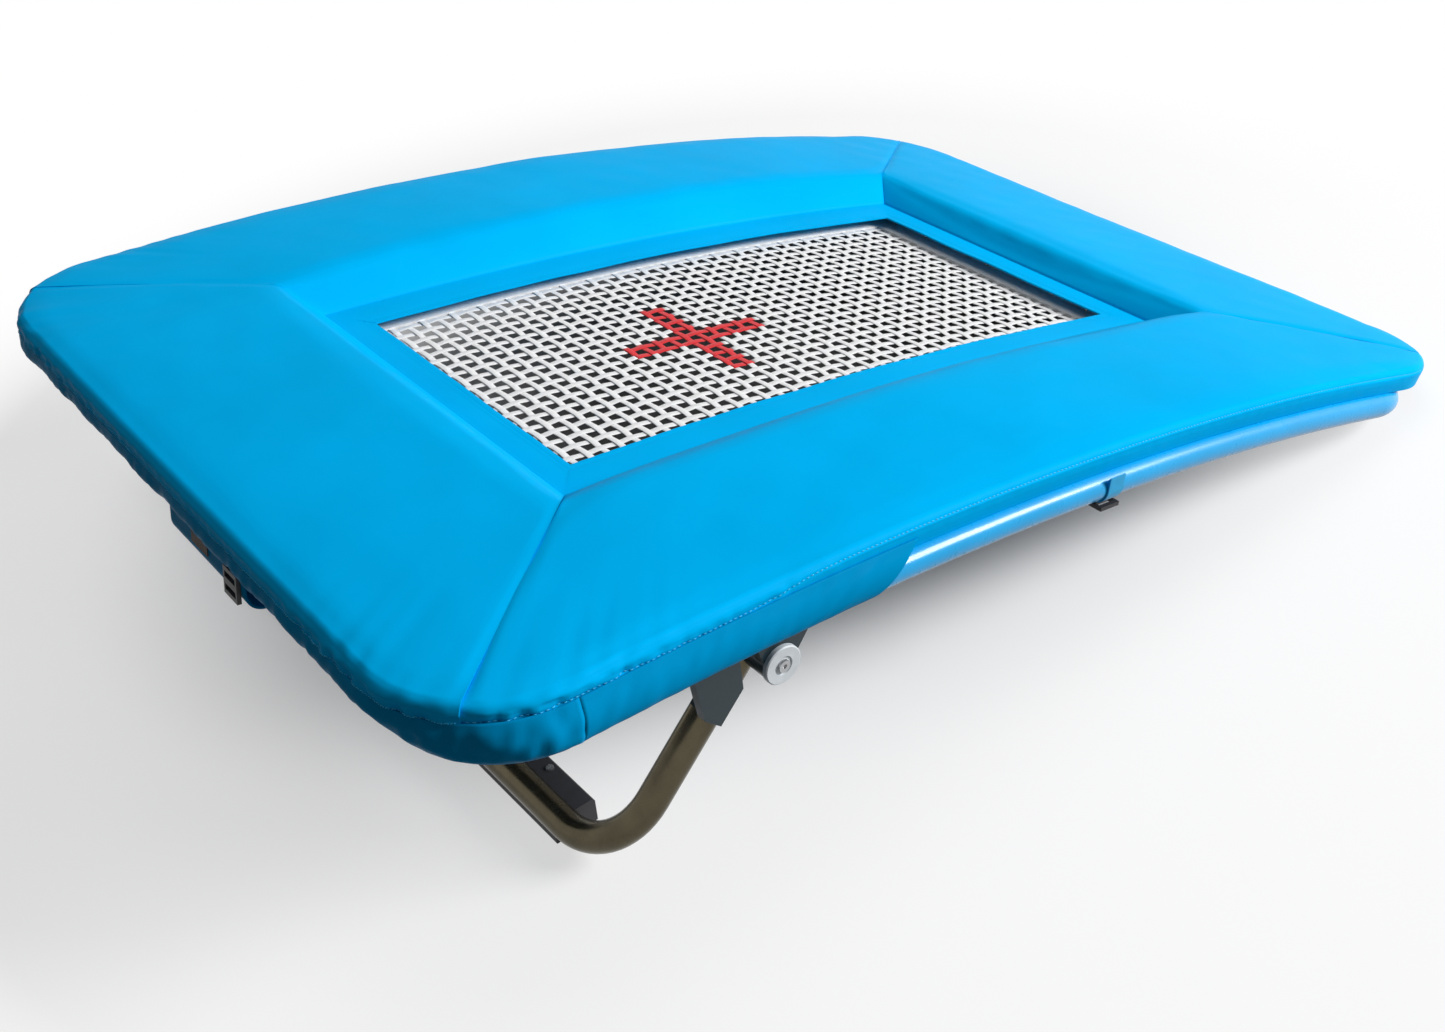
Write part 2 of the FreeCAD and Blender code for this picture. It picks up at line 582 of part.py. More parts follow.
side_springs = row(count("springs_on_side"))
end_springs = row(count("springs_on_end"))
rod_y = half_width - rod_in
rod_x = half_length - rod_in
reach = side_springs[-1] + size("rod_overhang")
for side, sign in SIDES:
    rod = rail_bar(rod_radius, sign, size("anchor_up"), rod_in, reach)
    for x in lug_row(count("springs_on_side"), count("lugs_on_side")):
        lug = Part.makeBox(lug_width, rod_in - lug_sink, lug_height)
        low_y = rod_y if sign > 0 else lug_sink - half_width
        lug.translate(Vector(x - lug_width / 2, low_y, rail_height(x) + size("anchor_up") - lug_height / 2))
        rod = rod.fuse(lug)
    feature("anchor_rod_" + side, rod.cut(rail_outsides[side]))
for end, way in (("high", -1), ("low", 1)):
    across_reach = end_springs[-1] + size("rod_overhang")
    height = end_height + size("anchor_up")
    rod = Part.makeCylinder(rod_radius, 2 * across_reach, Vector(way * rod_x, -across_reach, height), ACROSS)
    for y in lug_row(count("springs_on_end"), count("lugs_on_end")):
        lug = Part.makeBox(rod_in - lug_sink, lug_width, lug_height)
        low_x = rod_x if way > 0 else lug_sink - half_length
        lug.translate(Vector(low_x, y - lug_width / 2, height - lug_height / 2))
        rod = rod.fuse(lug)
    end_skin = Part.makeCylinder(tube_radius, 2 * half_width, Vector(way * half_length, -half_width, end_height), ACROSS)
    feature("anchor_rod_" + end, rod.cut(end_skin))


def arched_slab(lift, thickness, near, far, start, end):
    """Sheet that follows the bed's arch, its upper face lifted over it."""
    top = [Vector(x, near, bed_height(x) + lift) for x in (start, (start + end) / 2, end)]
    low = [spot - UP * thickness for spot in top]
    edges = [
        Part.Arc(*top).toShape(),
        Part.makeLine(top[2], low[2]),
        Part.Arc(low[2], low[1], low[0]).toShape(),
        Part.makeLine(low[0], top[0]),
    ]
    return Part.Face(Part.Wire(edges)).extrude(ACROSS * (far - near))


def plan_prism(corners):
    """Upright block over a plan outline, tall enough for the whole frame."""
    spots = [Vector(x, y, -size("frame_half_width")) for x, y in corners]
    outline = Part.makePolygon(spots + spots[:1])
    return Part.Face(outline).extrude(UP * 2 * size("frame_half_width"))


# Bed: open web, sewn border with a pocket for its rod, and the mark on top
bed_x = size("bed_half_length")
bed_y = size("bed_half_width")
web_x = bed_x - size("hem_width")
web_y = bed_y - size("hem_width")
web = arched_slab(0, size("web_thickness"), -web_y, web_y, -web_x, web_x)
long_step = 2 * web_x / count("web_gaps_long")
cross_step = 2 * web_y / count("web_gaps_across")
gap_tools = []
for i in range(count("web_gaps_long")):
    for j in range(count("web_gaps_across")):
        gap = Part.makeBox(long_step - size("web_band"), cross_step - size("web_band"), 4 * size("bed_arch"))
        gap.translate(Vector(-web_x + i * long_step + size("web_band") / 2,
                             -web_y + j * cross_step + size("web_band") / 2,
                             -2 * size("bed_arch")))
        gap_tools.append(gap)
feature("bed_web", web.cut(Part.makeCompound(gap_tools)))

hem_lift = (size("hem_thickness") - size("web_thickness")) / 2
hem_middle = -size("web_thickness") / 2
hem_rod_radius = size("hem_rod") / 2
pocket_radius = hem_rod_radius + size("hem_thickness") / 2
hem_rod_y = bed_y + size("hem_rod_out")
hem_rod_x = bed_x + size("hem_rod_out")
side_reach = side_springs[-1] + size("rod_overhang")
end_reach = end_springs[-1] + size("rod_overhang") * 0.75
notch = size("spring_wire") + 6
hem_rods = []


def arched_rod(y, radius, reach):
    """Round bar along a side of the bed, following its arch."""
    return arched_bar(radius, Vector(0, y, hem_middle), bed_radius, reach)


def straight_rod(x, radius, reach):
    """Round bar along an end of the bed."""
    start = Vector(x, -reach, bed_height(x) + hem_middle)
    return Part.makeCylinder(radius, 2 * reach, start, ACROSS)


for side, sign in SIDES:
    near, far = sorted((sign * web_y, sign * hem_rod_y))
    slab = arched_slab(hem_lift, size("hem_thickness"), near, far, -bed_x, bed_x)
    border = [(-web_x, sign * web_y), (-bed_x, sign * bed_y), (bed_x, sign * bed_y), (web_x, sign * web_y)]
    lip = [(-side_reach, sign * bed_y), (-side_reach, sign * 2 * bed_y), (side_reach, sign * 2 * bed_y),
           (side_reach, sign * bed_y)]
    hem = slab.common(plan_prism(border)).fuse(slab.common(plan_prism(lip)))
    hem = hem.fuse(arched_rod(sign * hem_rod_y, pocket_radius, side_reach))
    rod = arched_rod(sign * hem_rod_y, hem_rod_radius, side_reach)
    hem = hem.cut(arched_rod(sign * hem_rod_y, hem_rod_radius + size("snug"), side_reach))
    for x in side_springs:
        slot = Part.makeBox(notch, 4 * pocket_radius, 4 * pocket_radius)
        low_y = bed_y if sign > 0 else -bed_y - 4 * pocket_radius
        slot.translate(Vector(x - notch / 2, low_y, bed_height(x) - 2 * pocket_radius))
        hem = hem.cut(slot)
    feature("hem_" + side, hem)
    hem_rods.append(rod)
for end, way in (("high", -1), ("low", 1)):
    near, far = sorted((way * web_x, way * hem_rod_x))
    slab = arched_slab(hem_lift, size("hem_thickness"), -bed_y, bed_y, near, far)
    border = [(way * web_x, -web_y), (way * bed_x, -bed_y), (way * bed_x, bed_y), (way * web_x, web_y)]
    lip = [(way * bed_x, -end_reach), (way * 2 * bed_x, -end_reach), (way * 2 * bed_x, end_reach),
           (way * bed_x, end_reach)]
    hem = slab.common(plan_prism(border)).fuse(slab.common(plan_prism(lip)))
    hem = hem.fuse(straight_rod(way * hem_rod_x, pocket_radius, end_reach))
    hem = hem.cut(straight_rod(way * hem_rod_x, hem_rod_radius + size("snug"), end_reach))
    for y in end_springs:
        slot = Part.makeBox(4 * pocket_radius, notch, 4 * pocket_radius)
        low_x = bed_x if way > 0 else -bed_x - 4 * pocket_radius
        slot.translate(Vector(low_x, y - notch / 2, bed_height(bed_x) - 2 * pocket_radius))
        hem = hem.cut(slot)
    feature("hem_" + end, hem)
    hem_rods.append(straight_rod(way * hem_rod_x, hem_rod_radius, end_reach))
feature("hem_rods", Part.makeCompound(hem_rods))

mark_x = -size("mark_offset")
arms = []
for long, wide in ((size("mark_long"), size("mark_width")), (size("mark_width"), size("mark_across"))):
    arms.append(plan_prism([(mark_x - long / 2, -wide / 2), (mark_x + long / 2, -wide / 2),
                            (mark_x + long / 2, wide / 2), (mark_x - long / 2, wide / 2)]))
mark = arched_slab(size("mark_thickness"), size("mark_thickness"), -web_y, web_y, -web_x, web_x)
mark = mark.common(arms[0].fuse(arms[1]))
gap_tools = []
for long, axis in ((size("mark_long"), Vector(1, 0, 0)), (size("mark_across"), ACROSS)):
    steps = int((long / 2 - size("mark_gap")) // size("mark_pitch"))
    for k in range(-steps, steps + 1):
        spot = Vector(mark_x, 0, 0) + axis * (k * size("mark_pitch"))
        gap = Part.makeBox(size("mark_gap"), size("mark_gap"), 2 * size("bed_arch"))
        gap.translate(spot - Vector(size("mark_gap") / 2, size("mark_gap") / 2, size("bed_arch")))
        gap_tools.append(gap)
feature("centre_mark", mark.cut(Part.makeCompound(gap_tools)))


def hook():
    """Flat wire hook round a rod at the origin, its arm going along x."""
    wire = size("spring_wire")
    inner = (size("anchor_rod") / 2 + size("hook_play")) / math.cos(math.radians(36))
    outer = inner + wire
    arm = wire / 2
    start = math.degrees(math.asin(arm / outer))
    turns = [start + 72 * k for k in range(5)]
    shoulder = size("spring_hook") - wire
    foot = size("spring_od") * 0.4
    corners = [(shoulder, foot), (shoulder, arm)]
    corners += [(outer * math.cos(math.radians(a)), outer * math.sin(math.radians(a))) for a in turns]
    corners += [(inner * math.cos(math.radians(a)), inner * math.sin(math.radians(a))) for a in reversed(turns)]
    corners += [(inner, -arm), (shoulder, -arm), (shoulder, -foot)]
    corners += [(size("spring_hook") + wire, -foot), (size("spring_hook") + wire, foot)]
    spots = [Vector(x, -wire / 2, z) for x, z in corners]
    return Part.Face(Part.makePolygon(spots + spots[:1])).extrude(ACROSS * wire)


def spring_between(hem_spot, frame_spot):
    """Closed coil with a hook at both ends, stretched between two rods."""
    span = frame_spot - hem_spot
    length = span.Length
    coil = Part.makeCylinder(size("spring_od") / 2, length - 2 * size("spring_hook"),
                             Vector(size("spring_hook"), 0, 0), Vector(1, 0, 0))
    far = hook()
    far.rotate(Vector(0, 0, 0), UP, 180)
    far.translate(Vector(length, 0, 0))
    spring = coil.fuse(hook()).fuse(far)
    spring.Placement = Placement(hem_spot, Rotation(span, Vector(), UP, "XZY"))
    return spring


for side, sign in SIDES:
    springs = []
    for x in side_springs:
        hem_spot = Vector(x, sign * hem_rod_y, bed_height(x) + hem_middle)
        frame_spot = Vector(x, sign * rod_y, rail_height(x) + size("anchor_up"))
        springs.append(spring_between(hem_spot, frame_spot))
    feature("springs_" + side, Part.makeCompound(springs))
for end, way in (("high", -1), ("low", 1)):
    springs = []
    for y in end_springs:
        hem_spot = Vector(way * hem_rod_x, y, bed_height(hem_rod_x) + hem_middle)
        frame_spot = Vector(way * rod_x, y, end_height + size("anchor_up"))
        springs.append(spring_between(hem_spot, frame_spot))
    feature("springs_" + end, Part.makeCompound(springs))

# Frame pad: four foam sections that meet in mitres
shift = size("pad_shift")
pad_x = half_length + size("pad_over_ends")
pad_y = half_width + size("pad_over_sides")
corner_turns = (65, 50, 35, 18)
steps_along = 16


def pad_section(where, foot, crest, outer, rest, stretch):
    """Closed outline of the foam at one station, from its outer lower edge up and round."""
    thick = size("pad_thickness")
    edge = size("pad_edge_radius")

    def over_rail(reach, lift):
        x, y = where(reach)
        return Vector(x, y, rail_height(x) + tube_radius + size("pad_seat") + lift)

    def over_bed(reach, lift):
        x, y = where(reach)
        return Vector(x, y, bed_height(x) + lift)

    bow = edge * (1 - math.sqrt(0.5))
    shoulder = over_rail(outer - edge * stretch, thick)
    brink = over_rail(crest, thick + size("pad_crest_rise"))
    underside = size("pad_over_springs")
    low_reach = outer - size("pad_undercut") * stretch
    rest = min(rest, low_reach - edge)
    low = over_rail(low_reach, 0)
    side = over_rail(outer, thick - edge)
    lip = over_bed(foot, underside + size("foot_edge"))
    under = [over_bed(foot, underside), over_bed(foot + size("pad_flat_under"), underside), over_rail(rest, 0)]
    edges = [
        Part.makeLine(low, side),
        Part.Arc(side, over_rail(outer - bow * stretch, thick - bow), shoulder).toShape(),
        Part.Arc(shoulder, (shoulder + brink) / 2 + UP * size("pad_crown"), brink).toShape(),
        Part.makeLine(brink, lip),
        Part.makeLine(lip, under[0]),
        Part.makeLine(under[0], under[1]),
        Part.makeLine(under[1], under[2]),
        Part.makeLine(under[2], low),
    ]
    return Part.Wire(edges)


def corner_stations(straight, outer):
    """Stations round a plan corner: distance past the straight, outer edge, stretch."""
    radius = size("pad_corner")
    stations = []
    for turn in corner_turns:
        angle = math.radians(turn)
        past = straight + radius * math.sin(angle)
        stations.append((past, outer - radius * (1 - math.cos(angle)), 1 / math.cos(angle)))
    return stations


def corner_plan(way, sign, half_x, half_y):
    """Plan position of one corner of a ring of the pad."""
    return Vector(shift + way * half_x, sign * half_y, 0)


def mitre_ends(way, sign):
    """Plan points of one mitre, from outside the pad to inside its slope."""
    outer = corner_plan(way, sign, pad_x, pad_y)
    crest = corner_plan(way, sign, size("crest_half_length"), size("crest_half_width"))
    foot = corner_plan(way, sign, size("foot_half_length"), size("foot_half_width"))
    spots = [outer + (outer - crest) * 0.5, crest, foot, foot + (foot - crest)]
    return [(spot.x, spot.y) for spot in spots]


straight_x = pad_x - size("pad_corner")
straight_y = pad_y - size("pad_corner")
for side, sign in SIDES:
    stations = []
    for past, outer, stretch in corner_stations(straight_x, pad_y):
        stations.append((shift - past, outer, stretch))
    low_corner = [(2 * shift - x, outer, stretch) for x, outer, stretch in reversed(stations)]
    high_x = shift - straight_x
    low_x = shift + straight_x
    step = (low_x - high_x) / steps_along
    stations += [(high_x + step * index, pad_y, 1) for index in range(steps_along + 1)]
    stations += low_corner
    wires = []
    for x, outer, stretch in stations:
        wires.append(pad_section(lambda reach: (x, sign * reach), size("foot_half_width"),
                                 size("crest_half_width"), outer, half_width - size("pad_rest_in"), stretch))
    block = Part.makeLoft(wires, True, True)
    plan = mitre_ends(-1, sign) + mitre_ends(1, sign)[::-1]
    feature("pad_" + side, block.common(plan_prism(plan)))
for end, way in (("high", -1), ("low", 1)):
    stations = [(-past, outer, stretch) for past, outer, stretch in corner_stations(straight_y, pad_x)]
    right_corner = [(-y, outer, stretch) for y, outer, stretch in reversed(stations)]
    stations += [(-straight_y, pad_x, 1), (straight_y, pad_x, 1)] + right_corner
    rest = half_length - size("pad_rest_in") - way * shift
    wires = []
    for y, outer, stretch in stations:
        wires.append(pad_section(lambda reach: (shift + way * reach, y), size("foot_half_length"),
                                 size("crest_half_length"), outer, rest, stretch))
    block = Part.makeLoft(wires, True, True)
    plan = mitre_ends(way, -1) + mitre_ends(way, 1)[::-1]
    feature("pad_" + end, block.common(plan_prism(plan)))


def flap_corner(way, sign):
    """Plan points of a flap's mitre, from its tucked edge to its free edge."""
    free = corner_plan(way, sign, size("flap_half_length"), size("flap_half_width"))
    foot = corner_plan(way, sign, size("foot_half_length"), size("foot_half_width"))
    tucked = foot + (foot - free) * (size("flap_tuck") / (size("foot_half_width") - size("flap_half_width")))
    return [(tucked.x, tucked.y), (free.x, free.y)]


flap_sheet = arched_slab(size("flap_over_bed"), size("flap_thickness"), -half_width, half_width,
                         -half_length, half_length)
for side, sign in SIDES:
    plan = flap_corner(-1, sign) + flap_corner(1, sign)[::-1]
    feature("flap_" + side, flap_sheet.common(plan_prism(plan)))
for end, way in (("high", -1), ("low", 1)):
    plan = flap_corner(way, -1) + flap_corner(way, 1)[::-1]
    feature("flap_" + end, flap_sheet.common(plan_prism(plan)))

# Skirt that boots the high end: from beside the pad's wall down round the tube
cloth = size("skirt_cloth")
skirt_radius = tube_radius + size("skirt_play")
eighth = math.tan(math.radians(22.5))


def skirt_line(over, layer):
    """Half of the skirt's outline, where the pad reaches over the tube's axis by over."""
    top_out = over + size("skirt_play") + layer
    round_out = skirt_radius + layer
    return [
        (top_out, size("skirt_top")),
        (max(top_out, round_out), size("skirt_knee")),
        (round_out, -round_out * eighth),
        (round_out * eighth, -round_out),
        (size("skirt_under"), -round_out),
    ]


def skirt_section(where, over):
    """Skirt's outline at one station; where gives a point from offset and height."""
    spots = [where(out, height) for out, height in skirt_line(over, 0) + skirt_line(over, cloth)[::-1]]
    return Part.makePolygon(spots + spots[:1])


def beside_rail(x, sign, slant=0):
    """Point function of a section beside a rail, leaning by slant along x."""
    depth = size("skirt_top") + skirt_radius

    def where(out, height):
        return Vector(x + slant * (height + skirt_radius) / depth, sign * (half_width + out), rail_height(x) + height)
    return where


def round_corner(sign, turn):
    """Point function of a section round a high end corner."""
    along = Vector(-math.cos(slope), 0, -math.sin(slope))
    centre = Vector(-corner_start, sign * (half_width - corner), corner_height)
    angle = math.radians(turn)
    outward = along * math.sin(angle) + ACROSS * (sign * math.cos(angle))

    def where(out, height):
        return centre + outward * (corner + out) + UP * height
    return where


def pad_over_corner(turn):
    """How far the pad reaches over the tube's axis on a ray through the frame's corner."""
    angle = math.radians(turn)
    away_x = pad_x - size("pad_shift") - size("pad_corner") - corner_start
    away_y = pad_y - size("pad_corner") - half_width + corner
    ahead = away_x * math.sin(angle) + away_y * math.cos(angle)
    aside = away_x * math.cos(angle) - away_y * math.sin(angle)
    return ahead + math.sqrt(size("pad_corner") ** 2 - aside ** 2) - corner


def beside_end(y):
    """Point function of a section beside the high end tube."""
    def where(out, height):
        return Vector(-half_length - out, y, end_height + height)
    return where


hem_end = -size("skirt_end_low")
lean = size("skirt_end_low") - size("skirt_end_high")
side_over = size("pad_over_sides")
end_over = pad_x - size("pad_shift") - half_length
skirt_steps = 5
for side, sign in SIDES:
    step = (hem_end + corner_start) / skirt_steps
    stops = [hem_end - step * index for index in range(skirt_steps + 1)]
    wires = [skirt_section(beside_rail(x, sign, lean if x == hem_end else 0), side_over) for x in stops]
    feature("skirt_" + side, Part.makeLoft(wires, True, True))
corner_steps = range(0, 91, 10)
wires = [skirt_section(round_corner(1, turn), pad_over_corner(turn)) for turn in corner_steps]
wires += [skirt_section(beside_end(y), end_over) for y in (straight_y, -straight_y)]
wires += [skirt_section(round_corner(-1, turn), pad_over_corner(turn)) for turn in reversed(corner_steps)]
feature("skirt_end", Part.makeLoft(wires, True, True))


def hung_band(radius, thickness, rise, wrap, centre_down):
    """Outline of a band round a tube: straight down outside, then round under it."""
    edges = []
    ends = []
    for r in (radius, radius + thickness):
        top = Vector(r, 0, rise - centre_down)
        spots = [Vector(r * math.cos(math.radians(a)), 0, -centre_down - r * math.sin(math.radians(a)))
                 for a in (0, wrap / 2, wrap)]
        edges.append([Part.makeLine(top, spots[0]), Part.Arc(*spots).toShape()])
        ends.append((top, spots[2]))
    closing = [Part.makeLine(ends[0][1], ends[1][1]), Part.makeLine(ends[0][0], ends[1][0])]
    return Part.Face(Part.Wire(Part.__sortEdges__(edges[0] + edges[1] + closing)))


tab_radius = skirt_radius + cloth + size("tab_play")
tab = hung_band(tab_radius, size("tab_cloth"), size("tab_rise"), size("tab_wrap"), size("tab_centre_down"))
outward = Rotation(UP, 180)
end_middle = Vector(-half_length, 0, end_height)
tab_place = Placement(end_middle, outward)
tab_face = tab_radius + size("tab_cloth")
tab_middle = size("tab_at")
tab_solid = tab.extrude(ACROSS * size("tab_width"))
tab_start = Placement(ACROSS * (tab_middle - size("tab_width") / 2), Rotation())
feature("skirt_tab", tab_solid).Placement = tab_place.multiply(tab_start)
patch = Part.makeBox(size("patch_thickness"), size("patch_width"), size("patch_height"))
patch_low = size("patch_up") - size("tab_centre_down")
patch_spot = Vector(tab_face, size("patch_at") - size("patch_width") / 2, patch_low)
feature("tab_patch", patch).Placement = tab_place.multiply(Placement(patch_spot, Rotation()))


def buckle_body(label):
    """Flat buckle with two slots, lying square to x with its middle at the origin."""
    half = "Sizes.buckle_length / 2"
    wide = "Sizes.buckle_width / 2"
    body = padded_body(label, "YZ_Plane", [
        ("-" + wide, "-" + half),
        (wide, "-" + half),
        (wide, half),
        ("-" + wide, half),
    ], "Sizes.buckle_thickness")
    for name, way in (("lower", "-"), ("upper", "")):
        slot = body.newObject("PartDesign::Pocket", "%s_%s_slot" % (label, name))
        slot.Profile = polygon_sketch(body, "%s_%s_outline" % (label, name), "YZ_Plane", [
            ("-Sizes.strap_width / 2", way + "Sizes.buckle_length * 0.12"),
            ("Sizes.strap_width / 2", way + "Sizes.buckle_length * 0.12"),
            ("Sizes.strap_width / 2", way + "Sizes.buckle_length * 0.34"),
            ("-Sizes.strap_width / 2", way + "Sizes.buckle_length * 0.34"),
        ])
        slot.SideType = "Symmetric"
        slot.Type = "ThroughAll"
    return body


buckle_out = tab_face + size("buckle_thickness") / 2
buckle_low = size("tab_buckle_up") - size("tab_centre_down")
buckle_spot = end_middle + Vector(-buckle_out, -size("tab_buckle_at"), buckle_low)
keep(buckle_body("tab_buckle"), "tab_buckle", Placement(buckle_spot, outward))

# Straps that tie the pad down to the bare tubes
strap_radius = tube_radius + size("hook_play")


def strap_loop(top):
    """Webbing that hangs from the pad and passes under a tube lying along z."""
    strap = size("strap_cloth")
    outer = Part.makeCylinder(strap_radius + strap, size("strap_width"))
    block = Part.makeBox(2 * (strap_radius + strap), top, size("strap_width"))
    block.translate(Vector(-strap_radius - strap, 0, 0))
    inner = Part.makeBox(2 * strap_radius, 2 * tube_radius, size("strap_width"))
    inner.translate(Vector(-strap_radius, 0, 0))
    loop = outer.fuse(block).cut(inner).cut(Part.makeCylinder(strap_radius, size("strap_width")))
    return loop


def strap_place(spot, turn):
    """Strap loop standing at spot, with its tube's direction turned from x."""
    upright = Rotation(Vector(0, 1, 0), Vector(0, 0, 1), Vector(1, 0, 0), "ZYX")
    return Placement(spot, Rotation(UP, turn).multiply(upright))


def buckle_under(spot):
    """Place of a buckle under a strap loop round a side rail at spot."""
    down = strap_radius + size("strap_cloth") + size("buckle_thickness") / 2
    return Placement(spot - UP * down, Rotation(Vector(0, 0, -1), Vector(-1, 0, 0), ACROSS, "XZY"))


for side, sign in SIDES:
    x = size("strap_at")
    middle = Vector(x, sign * half_width, rail_height(x))
    loop = strap_loop(tube_radius)
    loop.Placement = strap_place(middle - Vector(size("strap_width") / 2, 0, 0), 0)
    feature("strap_" + side, loop)
    keep(buckle_body("strap_buckle_" + side), "strap_buckle_" + side, buckle_under(middle))
loops = []
for side, sign in SIDES:
    loop = strap_loop(tube_radius - size("end_strap_drop"))
    spot = Vector(half_length, sign * size("end_strap_at") - size("strap_width") / 2, end_height)
    loop.Placement = strap_place(spot, 90)
    loops.append(loop)
feature("straps_low", Part.makeCompound(loops))

# Stand the whole frame on the floor, its middle over the origin
document.recompute()
lean_back = Placement(Vector(0, 0, 0), Rotation(ACROSS, tilt))
for item in pieces:
    item.Placement = lean_back.multiply(item.Placement)
document.recompute()
left_end = min(item.Shape.BoundBox.XMin for item in pieces)
right_end = max(item.Shape.BoundBox.XMax for item in pieces)
foot_height = lean_back.multVec(foot_axis).z - tube_radius - size("foot_sole")
stand = Placement(Vector(-(left_end + right_end) / 2, 0, -foot_height), Rotation())
for item in pieces:
    item.Placement = stand.multiply(item.Placement)
document.recompute()

for item in document.Objects:
    if "Invalid" in item.State or "Error" in item.State:
        raise ValueError("%s did not rebuild" % item.Label)
for item in pieces:
    if item.Shape.isNull() or not item.Shape.isValid():
        raise ValueError("%s is not a valid solid" % item.Label)

os.makedirs("parts", exist_ok=True)
for item in pieces:
    item.Shape.exportStep("parts/%s.step" % item.Label)
hinge_spot = stand.multiply(lean_back).multVec(hinge)
print("tilt %.3f, hinge %.2f %.2f" % (tilt, hinge_spot.x, hinge_spot.z))
print("pieces %d" % len(pieces))
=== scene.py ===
"""Scene of the mini trampoline: its finishes, soft pieces, light and camera.

Lengths of the trampoline are in millimetres in the level frame, the way its maker draws
it: x towards the low end, y to the left and z square to the bed, with the bed's middle
at the origin. LevelFrame.stand turns them into the row frame, in metres.
"""

import json
import logging
import math
from dataclasses import dataclass, field
from enum import Enum
from typing import Callable, Iterable, Sequence

import bmesh
import bpy
import numpy as np
from mathutils import Matrix, Vector

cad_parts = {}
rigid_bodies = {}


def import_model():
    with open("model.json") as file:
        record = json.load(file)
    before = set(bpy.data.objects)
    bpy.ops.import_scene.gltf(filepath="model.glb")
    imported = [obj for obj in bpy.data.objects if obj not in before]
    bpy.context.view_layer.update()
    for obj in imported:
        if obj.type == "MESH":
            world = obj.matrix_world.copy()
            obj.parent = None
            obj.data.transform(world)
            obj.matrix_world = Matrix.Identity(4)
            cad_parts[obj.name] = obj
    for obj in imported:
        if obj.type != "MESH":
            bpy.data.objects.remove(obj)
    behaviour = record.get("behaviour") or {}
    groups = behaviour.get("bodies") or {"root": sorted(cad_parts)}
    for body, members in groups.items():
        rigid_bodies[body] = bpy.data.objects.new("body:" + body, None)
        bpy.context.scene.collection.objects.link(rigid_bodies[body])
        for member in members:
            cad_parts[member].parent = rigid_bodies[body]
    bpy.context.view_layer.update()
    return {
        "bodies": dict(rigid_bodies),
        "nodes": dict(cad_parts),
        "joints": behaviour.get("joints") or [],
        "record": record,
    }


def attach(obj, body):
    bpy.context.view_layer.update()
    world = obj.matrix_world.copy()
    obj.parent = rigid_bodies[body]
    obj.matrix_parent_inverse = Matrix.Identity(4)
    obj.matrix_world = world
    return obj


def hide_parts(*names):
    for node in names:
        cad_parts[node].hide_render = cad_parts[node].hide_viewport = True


LOG = logging.getLogger("trampoline")
Array = np.ndarray
Pair = tuple[float, float]
Triple = tuple[float, float, float]
Faces = list[tuple[int, ...]]
Shape = tuple[Array, Faces]
Piece = bpy.types.Object
Socket = bpy.types.NodeSocket


class Side(Enum):
    """The four sides of the bed, named as a gymnast meets them."""

    LEFT = "left"
    RIGHT = "right"
    HIGH = "high"
    LOW = "low"


@dataclass(frozen=True)
class LevelFrame:
    """Lines that everything follows, with the frame level."""

    half_length: float = 751.0
    half_width: float = 556.0
    corner_radius: float = 105.0
    rail_rise: float = 6.2
    rail_arch: float = 4900.0
    bed_half_length: float = 507.0
    bed_half_width: float = 267.0
    bed_arch: float = 20.0
    tilt: float = math.radians(10.874)
    hinge_x: float = -394.4
    hinge_z: float = -70.7
    hinge_in_row: Triple = (-0.42595, 0.0, 0.21680)

    @property
    def slope(self) -> float:
        """Fall of the frame past the ends of the rails' arch."""
        reach = math.hypot(self.rail_arch, self.corner_radius)
        return math.asin(self.half_length / reach) - math.atan2(self.corner_radius, self.rail_arch)

    @property
    def corner_start(self) -> float:
        """Where the corner bends begin, from the middle."""
        return self.half_length - self.corner_radius * math.cos(self.slope)

    def rail_height(self, x: Array) -> Array:
        """Height of a side rail's axis at x.

        Args:
            x: Places along the trampoline.

        Returns:
            One height per place.
        """
        reach = np.abs(np.asarray(x, float))
        on_arch = np.minimum(reach, self.corner_start)
        arch = self.rail_rise - self.rail_arch + np.sqrt(self.rail_arch**2 - on_arch**2)
        return arch - (reach - on_arch) * math.tan(self.slope)

    def bed_height(self, x: Array) -> Array:
        """Height of the bed's upper face at x."""
        radius = (self.bed_half_length**2 + self.bed_arch**2) / (2 * self.bed_arch)
        return np.sqrt(radius**2 - np.asarray(x, float) ** 2) - radius

    def stand(self, points: Array) -> Array:
        """Level millimetres to row metres, with the trampoline on its foot.

        Args:
            points: Points in level millimetres.

        Returns:
            The same points in row metres.
        """
        points = np.asarray(points, float)
        cos, sin = math.cos(self.tilt), math.sin(self.tilt)
        x = points[..., 0] - self.hinge_x
        z = points[..., 2] - self.hinge_z
        out = np.empty(points.shape)
        out[..., 0] = (x * cos + z * sin) / 1000 + self.hinge_in_row[0]
        out[..., 1] = points[..., 1] / 1000
        out[..., 2] = (z * cos - x * sin) / 1000 + self.hinge_in_row[2]
        return out

    def face(self, way: Sequence[float]) -> Vector:
        """A direction in the level frame as one in the row frame.

        Args:
            way: A direction, of any length.

        Returns:
            The direction, one unit long.
        """
        cos, sin = math.cos(self.tilt), math.sin(self.tilt)
        turned = way[0] * cos + way[2] * sin, way[1], way[2] * cos - way[0] * sin
        return Vector(turned).normalized()

    def lay(self, points: Array) -> Array:
        """Row metres back to level millimetres.

        Args:
            points: Points in row metres.

        Returns:
            The same points in level millimetres.
        """
        points = np.asarray(points, float)
        cos, sin = math.cos(self.tilt), math.sin(self.tilt)
        x = (points[..., 0] - self.hinge_in_row[0]) * 1000
        z = (points[..., 2] - self.hinge_in_row[2]) * 1000
        out = np.empty(points.shape)
        out[..., 0] = x * cos - z * sin + self.hinge_x
        out[..., 1] = points[..., 1] * 1000
        out[..., 2] = x * sin + z * cos + self.hinge_z
        return out


